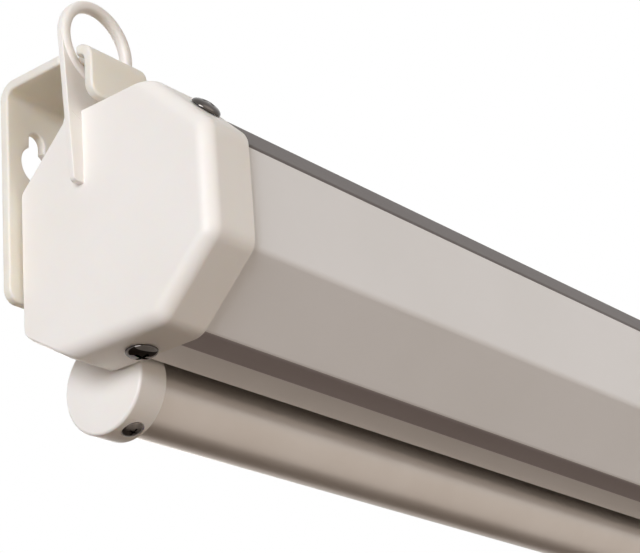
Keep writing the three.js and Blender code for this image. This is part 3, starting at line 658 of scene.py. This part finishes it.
def squarish(radius, sides=20):
    """A circle that leans towards a square, as a moulded ring's section does."""
    points = []
    for k in range(sides):
        c, s = math.cos(2 * math.pi * k / sides), math.sin(2 * math.pi * k / sides)
        points.append(tuple(math.copysign(abs(t) ** (2 / SQUARENESS), t) * radius for t in (c, s)))
    return points


ring_path = circle((BRACKET_MIDDLE, RING_RISE), RING_RADIUS, RING_SIDES)
ring = new_object("ring", loop_tube(ring_path, squarish(RING_SECTION)))
ring.data.transform(Matrix.Translation((0, RING_DEPTH * MM, 0)))

# %% Tongue and web, joined to the cap
TONGUE_WIDTH = 2.0
TONGUE_ROUNDING = 0.3
TONGUE_REACH = 3.8
TONGUE_DROP = 24.0
TONGUE_ROOT = 4.6
INTO_CAP = 1.5
TIP_RADIUS = 1.6
WEB_HALF = 8.0
WEB_STEPS = 24
WEB_ROUNDING = 0.05

tip_centre = (TIP_RADIUS - TONGUE_REACH, TIP_RADIUS - TONGUE_DROP)
ring_edge = BRACKET_MIDDLE - RING_RADIUS - RING_SECTION
tongue_outline = [
    (INTO_CAP, -TONGUE_DROP), (INTO_CAP, -TONGUE_ROOT), (-TONGUE_REACH, -TONGUE_ROOT / 2),
    (ring_edge + 2 * RING_SECTION, RING_RISE), (ring_edge, RING_RISE),
    *arc(tip_centre, TIP_RADIUS, Vector((-1, 0)), Vector((0, -1))),
]
web_rise = math.sqrt(RING_RADIUS ** 2 - WEB_HALF ** 2)
to_web_corner = Vector((WEB_HALF, -web_rise)).normalized()
web_outline = [
    (INTO_CAP, -TONGUE_ROOT), (CAP_END_WALL, -CAP_WALL / 2), (BRACKET_MIDDLE + WEB_HALF, -CAP_WALL / 2),
    *arc((BRACKET_MIDDLE, RING_RISE), RING_RADIUS, to_web_corner, Vector((-1, 0)), WEB_STEPS),
    (-TONGUE_REACH - CLEARANCE, -TONGUE_ROOT / 2),
]
joined = [ring]
for name, outline, rounding in (
    ("tongue", tongue_outline, TONGUE_ROUNDING), ("web", web_outline, WEB_ROUNDING),
):
    points, faces = rounded_plate([outline], TONGUE_WIDTH, rounding)
    joined.append(new_object(name, ([(x, RING_DEPTH - w, z) for x, z, w in points], faces)))
combine(end_cap, "UNION", joined)
finish_pair(end_cap, "case", "cap_plastic", "end_cap", moulded_abs)

# %% [markdown]
# ## The wall brackets
#
# A bracket is an L-shaped moulding: a leg on the wall with a keyhole, an arm over the cap
# with a notch on each side for the ring, and a lip down in front. It is easiest to draw
# as a flat plate, with its holes and rounded edges, and then bend it twice.

# %% Outline of the flat bracket
BRACKET_THICKNESS = 3.1
BRACKET_BEND = 5.5
BRACKET_EDGE = 0.7
BRACKET_WIDTH = 23.4
BRACKET_CORNER = 4.0
BRACKET_RISE = 18.0
BRACKET_REACH = -34.8
BRACKET_FOOT = -52.3
WALL_FACE = CLEARANCE + BRACKET_THICKNESS
LEG_LENGTH = BRACKET_RISE - BRACKET_BEND - BRACKET_FOOT
BEND_LENGTH = math.pi / 2 * (BRACKET_BEND - BRACKET_THICKNESS / 2)
ARM_LENGTH = (WALL_FACE - BRACKET_BEND) - (BRACKET_REACH + BRACKET_BEND)
LIP_LENGTH = BRACKET_RISE - BRACKET_BEND - CLEARANCE
PLATE_LENGTH = LEG_LENGTH + ARM_LENGTH + LIP_LENGTH + 2 * BEND_LENGTH
NECK_HALF = 6.68
NECK_LENGTH = 6.0
NECK_CORNER = 1.4

half_width = BRACKET_WIDTH / 2
neck_middle = LEG_LENGTH + BEND_LENGTH + (WALL_FACE - BRACKET_BEND - RING_DEPTH)
low_neck, high_neck = neck_middle - NECK_LENGTH / 2, neck_middle + NECK_LENGTH / 2
right_side = [
    (half_width, 0, BRACKET_CORNER), (half_width, low_neck, NECK_CORNER), (NECK_HALF, low_neck, NECK_CORNER),
    (NECK_HALF, high_neck, NECK_CORNER), (half_width, high_neck, NECK_CORNER),
    (half_width, PLATE_LENGTH, BRACKET_CORNER),
]
left_side = [(-x, s, r) for x, s, r in right_side[::-1]]


def rounded_corners(corners):
    """An outline from (x, y, radius) corners."""
    outline = []
    for i, (x, y, radius) in enumerate(corners):
        before, after = Vector(corners[i - 1][:2]), Vector(corners[(i + 1) % len(corners)][:2])
        first, second = right_normal(before, (x, y)), right_normal((x, y), after)
        side = 1 if turn_between(first, second) > 0 else -1
        centre = inner_corner(before, (x, y), after, side * radius)
        outline += arc(centre, radius, side * first, side * second)
    return outline


plate_outline = rounded_corners(right_side + left_side)
print(f"flat bracket: {BRACKET_WIDTH} by {PLATE_LENGTH:.1f} mm")

# %% Keyhole and screw hole
KEYHOLE_RADIUS = 6.0
KEYHOLE_DROP = 6.1
KEYHOLE_STEPS = 40
SLOT_HALF = 2.9
SLOT_RISE = 4.7
SCREW_HOLE_RADIUS = 3.5
BRACKET_SCREW_DROP = 42.0

# The top of the end cap, measured along the plate
cap_top = LEG_LENGTH - (BRACKET_RISE - BRACKET_BEND)
keyhole_middle = cap_top - KEYHOLE_DROP
slot_centre = (0, cap_top + SLOT_RISE - SLOT_HALF)
meeting = math.asin(SLOT_HALF / KEYHOLE_RADIUS)
keyhole = [
    (KEYHOLE_RADIUS * math.sin(a), keyhole_middle + KEYHOLE_RADIUS * math.cos(a))
    for a in (meeting + (2 * math.pi - 2 * meeting) * k / KEYHOLE_STEPS for k in range(KEYHOLE_STEPS + 1))
]
keyhole += arc(slot_centre, SLOT_HALF, Vector((-1, 0)), Vector((0, 1)))
keyhole += arc(slot_centre, SLOT_HALF, Vector((0, 1)), Vector((1, 0)))[1:]
screw_hole = circle((0, cap_top - BRACKET_SCREW_DROP), SCREW_HOLE_RADIUS)
print(f"keyhole {2 * KEYHOLE_RADIUS} mm wide, its slot {2 * SLOT_HALF} mm")

# %% [markdown]
# ## Bending the bracket
#
# The plate could be bent by a modifier, but a function of the way along it is exact:
# the plate is cut across into narrow rows where it bends, and each point is then carried
# to its place along the bent path.

# %% Bent brackets
BEND_ROWS = 12
SAME_POINT = 1e-4


def bent(along, height):
    """Where a point of the flat plate goes, from its way along the plate and its height."""
    mid = BRACKET_THICKNESS / 2
    centre_y, centre_z = WALL_FACE - BRACKET_BEND, BRACKET_RISE - BRACKET_BEND
    reach = BRACKET_BEND - mid + height
    if along <= LEG_LENGTH:
        return centre_y + reach, BRACKET_FOOT + along
    along -= LEG_LENGTH
    if along <= BEND_LENGTH:
        angle = along / BEND_LENGTH * math.pi / 2
        return centre_y + reach * math.cos(angle), centre_z + reach * math.sin(angle)
    along -= BEND_LENGTH
    if along <= ARM_LENGTH:
        return centre_y - along, centre_z + reach
    along -= ARM_LENGTH
    angle = min(along / BEND_LENGTH, 1) * math.pi / 2
    drop = max(along - BEND_LENGTH, 0)
    centre_y -= ARM_LENGTH
    return centre_y - reach * math.sin(angle), centre_z + reach * math.cos(angle) - drop


plate_outlines = [plate_outline, keyhole, screw_hole]
plate_points, plate_faces = rounded_plate(plate_outlines, BRACKET_THICKNESS, BRACKET_EDGE)
plate = bmesh.new()
plate_vertices = [plate.verts.new(point) for point in plate_points]
for face in plate_faces:
    plate.faces.new([plate_vertices[i] for i in face])
bmesh.ops.remove_doubles(plate, verts=plate.verts, dist=SAME_POINT)
for start in (LEG_LENGTH, LEG_LENGTH + BEND_LENGTH + ARM_LENGTH):
    for k in range(BEND_ROWS + 1):
        row = (0, start + BEND_LENGTH * k / BEND_ROWS, 0)
        geometry = plate.verts[:] + plate.edges[:] + plate.faces[:]
        bmesh.ops.bisect_plane(plate, geom=geometry, plane_co=row, plane_no=(0, 1, 0), dist=SAME_POINT)
plate.verts.index_update()
bracket_points = [(BRACKET_MIDDLE + v.co.x, *bent(v.co.y, v.co.z)) for v in plate.verts]
bracket_faces = [[v.index for v in face.verts] for face in plate.faces]
plate.free()
bracket = new_object("bracket_moulding_left", (bracket_points, bracket_faces))
finish_pair(bracket, "case", "bracket_plastic", "wall_bracket", ivory_bracket_abs)

# %% [markdown]
# ## Screws
#
# Three kinds of screw hold the screen together: polished pan heads through the end
# caps, small dark ones in the bar's caps, and flat heads behind the brackets. Each is a
# turned profile with a cross cut into its head. The bar's screw lies in a round seat.

# %% Screw helpers
RECESS_FLOOR_SHARE = 0.62
RECESS_MOUTH_SHARE = 1.1
RECESS_OVERRUN = 1.0
HEAD_FULLNESS = 0.9
HEAD_EDGE = 0.1


def screw(name, profile, top, place, direction, span, slit, depth):
    """A turned screw along a direction, with a cross recess in its head."""
    head = new_object(name, placed(turned(profile), place, direction))
    levels = ((top - depth, RECESS_FLOOR_SHARE), (top + RECESS_OVERRUN, RECESS_MOUTH_SHARE))
    cutters = []
    for width, length in ((span, slit), (slit, span)):
        corners = [(sx * width / 2, sy * length / 2) for sx, sy in ((-1, -1), (1, -1), (1, 1), (-1, 1))]
        shape = loft([[(x * share, y * share, height) for x, y in corners] for height, share in levels])
        cutters.append(new_object("cross", placed(shape, place, direction)))
    return combine(head, "DIFFERENCE", cutters)


def domed_profile(length, shank, radius, rim, height, steps=10):
    """A shank and a domed head as (height, radius) points, from the tip to the top."""
    under_head = [
        (-length, 0), (-length, shank), (0, shank), (0, radius - HEAD_EDGE), (0.8 * HEAD_EDGE, radius),
    ]
    angles = [math.pi / 2 * k / steps for k in range(steps + 1)]
    dome = [
        (rim + (height - rim) * math.sin(a), radius * math.cos(a) ** HEAD_FULLNESS) for a in angles
    ]
    return under_head + dome


# %% Screws of the end caps and brackets
CAP_SCREW_INSET = 12.0
PAN_HEIGHT = 2.1
FLAT_LENGTH = 9.0
FLAT_SHANK = 1.5
FLAT_CONE = 1.3
FLAT_RADIUS = 3.2

pan_profile = domed_profile(length=8, shank=1.9, radius=4.65, rim=0.15, height=PAN_HEIGHT)
for name, (start, end) in (("top", CAP_CORNERS[2:4]), ("bottom", CAP_CORNERS[5:7])):
    facing = right_normal(start, end)
    direction = Vector((0, facing.x, facing.y))
    seat = Vector((CAP_SCREW_INSET, (start[0] + end[0]) / 2, (start[1] + end[1]) / 2)) + CLEARANCE * direction
    pan_head = screw(f"pan_head_{name}_left", pan_profile, PAN_HEIGHT, seat, direction,
                     span=5.8, slit=1.2, depth=1.4)
    finish_pair(pan_head, "case", "screw_chrome", f"cap_screw_{name}", black_nickel)

flat_profile = [
    (-FLAT_LENGTH, 0), (-FLAT_LENGTH, FLAT_SHANK), (-FLAT_CONE, FLAT_SHANK), (0, FLAT_RADIUS), (0, 0),
]
flat_place = (BRACKET_MIDDLE, WALL_FACE - CLEARANCE, -BRACKET_SCREW_DROP)
bracket_screw = screw("flat_head_left", flat_profile, 0, flat_place, (0, 1, 0), span=3.4, slit=0.8, depth=1.0)
finish_pair(bracket_screw, "case", "inner_steel", "bracket_screw", galvanised_steel)

# %% [markdown]
# ## The bar
#
# The bar is an aluminium tube with a slot along its top. The cloth goes in through
# the slot and is kept by a rod in its hem. A moulded cup closes each end, held by
# a small screw that sits in a seat low on the side away from the wall. The tube is an open ring
# outline carried along the case, and the cup is turned.

# %% Bar tube
BAR_AXIS = (-12.0, -75.75)
BAR_RADIUS = 12.2
BAR_WALL = 1.2
BAR_SLOT_HALF = 0.8
BAR_CAP_RADIUS = 15.0
BAR_CAP_START = 19.1
BAR_CAP_LENGTH = 10.7
BAR_CAP_END_WALL = 2.2
BAR_CAP_EDGE = 0.9
BAR_SIDES = 96
BAR_START = BAR_CAP_START + BAR_CAP_END_WALL + CLEARANCE


def open_ring(centre, outer, inner, half_slot, steps=BAR_SIDES):
    """A ring with a slot at its top, as one outline."""
    outline = []
    for radius, side in ((outer, 1), (inner, -1)):
        gap = math.asin(half_slot / radius)
        start, sweep = math.pi / 2 + side * gap, side * (2 * math.pi - 2 * gap)
        angles = [start + sweep * k / steps for k in range(steps + 1)]
        outline += [(centre[0] + radius * math.cos(a), centre[1] + radius * math.sin(a)) for a in angles]
    return outline


bar_outline = open_ring(BAR_AXIS, BAR_RADIUS, BAR_RADIUS - BAR_WALL, BAR_SLOT_HALF)
bar = new_object("bar_extrusion", prism(bar_outline, BAR_START, CASE_LENGTH - BAR_START))
finish_piece(bar, "bar", "bar_metal", "bar_tube", anodised_aluminium)

# %% Caps of the bar
CUP_EDGE_STEPS = 6
CUP_RIM = 0.3
edge_profile = [
    (BAR_CAP_START + BAR_CAP_EDGE * (1 - math.cos(a)), BAR_CAP_RADIUS - BAR_CAP_EDGE * (1 - math.sin(a)))
    for a in (math.pi / 2 * k / CUP_EDGE_STEPS for k in range(CUP_EDGE_STEPS + 1))
]
cup_end = BAR_CAP_START + BAR_CAP_LENGTH
bore = BAR_RADIUS + CLEARANCE
cup_profile = [
    (BAR_CAP_START, 0), *edge_profile,
    (cup_end - CUP_RIM, BAR_CAP_RADIUS), (cup_end, BAR_CAP_RADIUS - CUP_RIM), (cup_end, bore),
    (BAR_CAP_START + BAR_CAP_END_WALL, bore), (BAR_CAP_START + BAR_CAP_END_WALL, 0),
]
cup = new_object("bar_cup_left", placed(turned(cup_profile, BAR_SIDES), (0, *BAR_AXIS), (1, 0, 0)))

SEAT_ANGLE = math.radians(70)
SEAT_INSET = 6.2
SEAT_DEPTH = 0.7
SEAT_RADIUS = 3.4
SEAT_MOUTH = 3.6
SEAT_REACH = 3.0
SEAT_SIDES = 48
seat_direction = Vector((0, -math.cos(SEAT_ANGLE), -math.sin(SEAT_ANGLE)))
seat_place = Vector((BAR_CAP_START + SEAT_INSET, *BAR_AXIS)) + (BAR_CAP_RADIUS - SEAT_DEPTH) * seat_direction
seat_profile = [(0, 0), (0, SEAT_RADIUS), (SEAT_REACH, SEAT_MOUTH), (SEAT_REACH, 0)]
seat = new_object("seat", placed(turned(seat_profile, SEAT_SIDES), seat_place, seat_direction))
combine(cup, "DIFFERENCE", [seat])
finish_pair(cup, "bar", "cap_plastic", "bar_cap", moulded_abs)

# %% Screws of the bar's caps
SMALL_HEIGHT = 1.1
small_profile = domed_profile(length=5, shank=1.3, radius=3.1, rim=0.1, height=SMALL_HEIGHT)
cup_screw = screw("bar_screw_left", small_profile, SMALL_HEIGHT, seat_place + CLEARANCE * seat_direction,
                  seat_direction, span=4.0, slit=0.8, depth=0.8)
finish_pair(cup_screw, "bar", "inner_steel", "bar_cap_screw", dark_zinc)

# %% [markdown]
# ## The cloth on the roller
#
# With the screen rolled up, 1.27 m of cloth lies on the roller in twelve turns. A
# plain tube would look the same from outside, but not at its ends, where the turns show
# as a spiral. So the roll is one long strip whose radius grows by the thickness of the
# tightly wound cloth in each turn, and it has the true length of what is wound up.

# %% Wound cloth
ROLLER_AXIS = (-31.4474, -34.0)
CLOTH_START = 37.0
CLOTH_THICKNESS = 0.4
WOUND_PITCH = 0.35
CORE_RADIUS = 14.3
ROLL_RADIUS = 18.94
CLOTH_SHARE = 0.9
STEPS_PER_TURN = 48

turns = (ROLL_RADIUS - CORE_RADIUS) / WOUND_PITCH - 1
steps = int(turns * STEPS_PER_TURN)
spiral, wound_length = [], 0.0
for k in range(steps + 1):
    angle = math.pi * 2 * k / STEPS_PER_TURN
    radius = CORE_RADIUS + WOUND_PITCH * k / STEPS_PER_TURN
    spiral.append((angle, radius))
    wound_length += radius * 2 * math.pi / STEPS_PER_TURN
strip = []
for inner, order in ((0.0, spiral), (CLOTH_SHARE * WOUND_PITCH, spiral[::-1])):
    strip += [(ROLLER_AXIS[0] + (r + inner) * math.cos(a), ROLLER_AXIS[1] + (r + inner) * math.sin(a))
              for a, r in order]
half = len(spiral)
points = [(x, y, z) for x in (CLOTH_START, CASE_LENGTH - CLOTH_START) for y, z in strip]
count = len(strip)
faces = [[i, (i + 1) % count, (i + 1) % count + count, i + count] for i in range(count)]
for side in (0, count):
    faces += [[side + i, side + i + 1, side + count - 2 - i, side + count - 1 - i] for i in range(half - 1)]
roll = new_object("wound_cloth", (points, faces))
finish_piece(roll, "roller", "screen_cloth", "fabric_roll", matte_screen_cloth)
print(f"wound cloth: {wound_length:.0f} mm in {turns:.1f} turns")

# %% [markdown]
# ## The hanging cloth
#
# From the back of the roll the cloth drops straight into the bar's slot. Pulling the
# bar down draws more cloth off the roll. Here the hanging part is a thin flat sheet, cut
# across into even rows from the roll down to the bar.

# %% Hanging cloth
CLOTH_TOP = -34.0
CLOTH_BOTTOM = -64.75
CLOTH_PLANE = -12.0
ROWS = 64

half = CLOTH_THICKNESS / 2
rows = []
for k in range(ROWS + 1):
    z = CLOTH_TOP + (CLOTH_BOTTOM - CLOTH_TOP) * k / ROWS
    rows.append([(x, CLOTH_PLANE + y, z) for x, y in (
        (CLOTH_START, -half), (CASE_LENGTH - CLOTH_START, -half),
        (CASE_LENGTH - CLOTH_START, half), (CLOTH_START, half))])
hanging = new_object("hanging_cloth", loft(rows))
finish_piece(hanging, None, "screen_cloth", "hanging_fabric", matte_screen_cloth)
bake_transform(hanging)

# %% [markdown]
# ## The pull handle
#
# A moulded eye is fixed under the middle of the bar, and a ring with a straight top
# swings in it. The eye is a rounded plate with a bore, hollowed to sit against the
# tube. The ring is a round section carried round an arc, two small bends and the straight top.

# %% Pull eye
PIVOT = (-12.0, -94.15)
EYE_WIDTH = 12.0
EYE_RADIUS = 4.2
PIN_RADIUS = 1.8
RING_BEND = 2.4
HANDLE_RADIUS = 13.0
HANDLE_DROP = 9.0
HANDLE_STEPS = 48
HANDLE_SIDES = 20
STRAIGHT_STEPS = 8
SADDLE_STEPS = 12
PIN_PLAY = 0.08
EYE_EDGE = 0.05

saddle_radius = BAR_RADIUS + CLEARANCE
saddle_angle = math.asin(EYE_RADIUS / saddle_radius)
saddle = [
    (saddle_radius * math.sin(a), BAR_AXIS[1] - saddle_radius * math.cos(a))
    for a in (saddle_angle * (1 - 2 * k / SADDLE_STEPS) for k in range(SADDLE_STEPS + 1))
]
eye_outline = saddle + arc((0, PIVOT[1]), EYE_RADIUS, Vector((-1, 0)), Vector((0, -1)))
eye_outline += arc((0, PIVOT[1]), EYE_RADIUS, Vector((0, -1)), Vector((1, 0)))[1:]
eye_bore = circle((0, PIVOT[1]), PIN_RADIUS + PIN_PLAY)
eye_points, eye_faces = rounded_plate([eye_outline, eye_bore], EYE_WIDTH, EYE_EDGE)
middle = CASE_LENGTH / 2
eye = new_object("pull_eye_moulding", ([(middle + w, PIVOT[0] + y, z) for y, z, w in eye_points], eye_faces))
finish_piece(eye, "bar", "cap_plastic", "pull_eye", moulded_abs)

# %% Ring of the handle
ring_middle = PIVOT[1] - HANDLE_DROP
bend_height = PIVOT[1] - RING_BEND
bend_middle = math.sqrt((HANDLE_RADIUS - RING_BEND) ** 2 - (bend_height - ring_middle) ** 2)
joining = math.atan2(bend_height - ring_middle, bend_middle)
left_join, right_join = (Vector((side * math.cos(joining), math.sin(joining))) for side in (-1, 1))
handle_path = [
    (bend_middle * (1 - 2 * k / STRAIGHT_STEPS), PIVOT[1]) for k in range(STRAIGHT_STEPS + 1)
]
handle_path += arc((-bend_middle, bend_height), RING_BEND, Vector((0, 1)), left_join)[1:]
sweep = math.pi + 2 * joining
handle_path += [
    (HANDLE_RADIUS * math.cos(a), ring_middle + HANDLE_RADIUS * math.sin(a))
    for a in (math.pi - joining + sweep * k / HANDLE_STEPS for k in range(1, HANDLE_STEPS + 1))
]
handle_path += arc((bend_middle, bend_height), RING_BEND, right_join, Vector((0, 1)))[1:-1]
handle_points, handle_faces = loop_tube(handle_path, circle((0, 0), PIN_RADIUS, HANDLE_SIDES))
handle_places = [(middle + x, PIVOT[0] + y, z) for x, y, z in handle_points]
handle = new_object("pull_ring", (handle_places, handle_faces))
finish_piece(handle, "handle", "cap_plastic", "pull_handle", moulded_abs)

# %% [markdown]
# ## What stays as it was drawn
#
# The hanger plates, the roller and its spring drive are hidden inside the case, and
# their shapes are right as they are. They only get their finishes.

# %% Finishes for the inner parts
inner_finishes = {
    galvanised_steel: (
        "spear_hanger", "bush_hanger", "spring_arbor", "ratchet_disc", "pawl_1", "pawl_2", "roller_tube"),
    blued_spring_steel: ("torsion_spring",),
    turned_nylon: ("bearing_bush", "spring_anchor", "roller_head", "idler_plug", "fabric_spline"),
}
for material, names in inner_finishes.items():
    for name in names:
        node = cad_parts[name]
        node.data.materials.clear()
        node.data.materials.append(material)
print("inner parts finished:", sum(len(names) for names in inner_finishes.values()))

# %% [markdown]
# ## Studio
#
# The photograph has a white background, a broad soft light from the left, a weak one
# from a little above in front, and warm dark undersides. Wide sun lamps are the soft lights, and one from
# behind keeps the back readable. The world is white where the camera or a reflection
# sees it, and a dim warm grey where it lights the object. A dark card stands behind the bar where
# the wall would be. The camera doesn't see it, but the bar's underside mirrors it.

# %% Lights
def sun(name, strength, colour, spread, direction):
    data = bpy.data.lights.new(name, "SUN")
    data.energy = strength
    data.color = linear(colour)[:3]
    data.angle = math.radians(spread)
    lamp = bpy.data.objects.new(name, data)
    bpy.context.scene.collection.objects.link(lamp)
    lamp.rotation_mode = "QUATERNION"
    lamp.rotation_quaternion = Vector(direction).to_track_quat("Z", "Y")
    print("lamp", name, strength)


sun("side_light", 4.2, "#f6f9ff", 40, (-0.95, -0.31, 0.0))
sun("front_light", 0.70, "#fff6ea", 60, (-0.05, -0.92, 0.39))
sun("back_light", 1.1, "#fffaf5", 40, (0.50, 0.80, 0.33))

# %% World
AMBIENT = 0.12
AMBIENT_COLOUR = "#f0dccb"


def add_seen(tree):
    """One where a camera, glossy or transmission ray looks, and zero for the rays that light."""
    rays = add_node(tree, "ShaderNodeLightPath").outputs
    seen = add_node(tree, "ShaderNodeMath", {0: rays["Is Camera Ray"], 1: rays["Is Glossy Ray"]},
                    operation="MAXIMUM").outputs["Value"]
    return add_node(tree, "ShaderNodeMath", {0: seen, 1: rays["Is Transmission Ray"]},
                    operation="MAXIMUM").outputs["Value"]


world = bpy.data.worlds.new("white_studio")
bpy.context.scene.world = world
world.use_nodes = True
tree = world.node_tree
dim = add_node(tree, "ShaderNodeBackground", {"Color": linear(AMBIENT_COLOUR), "Strength": AMBIENT})
white = add_node(tree, "ShaderNodeBackground", {"Color": linear("#ffffff"), "Strength": 1.0})
both = add_node(tree, "ShaderNodeMixShader", {
    0: add_seen(tree), 1: dim.outputs["Background"], 2: white.outputs["Background"]})
tree.links.new(both.outputs["Shader"], tree.nodes["World Output"].inputs["Surface"])
print("world lights the object at", AMBIENT)


# %% Floor and card
def stage_plane(name, corners, code):
    data = bpy.data.meshes.new(name)
    data.from_pydata(corners, [], [(0, 1, 2, 3)])
    plane = bpy.data.objects.new(name, data)
    bpy.context.scene.collection.objects.link(plane)
    material = bpy.data.materials.new(name)
    material.use_nodes = True
    shader = material.node_tree.nodes["Principled BSDF"]
    shader.inputs["Base Color"].default_value = linear(code)
    shader.inputs["Roughness"].default_value = 0.9
    data.materials.append(material)
    return plane


FLOOR_HEIGHT = -2.6
FLOOR_REACH = 60.0
FLOOR_GLOW = 0.52
floor_corners = [
    (x * FLOOR_REACH, y * FLOOR_REACH, FLOOR_HEIGHT) for x, y in ((-1, -1), (1, -1), (1, 1), (-1, 1))
]
floor = stage_plane("pale_floor", floor_corners, "#eaded2")
tree = floor.active_material.node_tree
shader = tree.nodes["Principled BSDF"]
shader.inputs["Emission Color"].default_value = linear("#ffffff")
glow = add_node(tree, "ShaderNodeMath", {0: add_seen(tree), 1: FLOOR_GLOW}, operation="MULTIPLY")
tree.links.new(glow.outputs["Value"], shader.inputs["Emission Strength"])

CARD_DEPTH = 0.1
CARD_TOP = -0.12
CARD_LEFT = -4.0
CARD_RIGHT = 6.0
card_outline = (
    (CARD_LEFT, FLOOR_HEIGHT), (CARD_RIGHT, FLOOR_HEIGHT), (CARD_RIGHT, CARD_TOP), (CARD_LEFT, CARD_TOP))
card = stage_plane("dark_card", [(x, CARD_DEPTH, z) for x, z in card_outline], "#4a403a")
card.visible_camera = False
card.visible_shadow = False
card.visible_transmission = False

bpy.context.scene.view_settings.view_transform = "Standard"
print("stage ready")
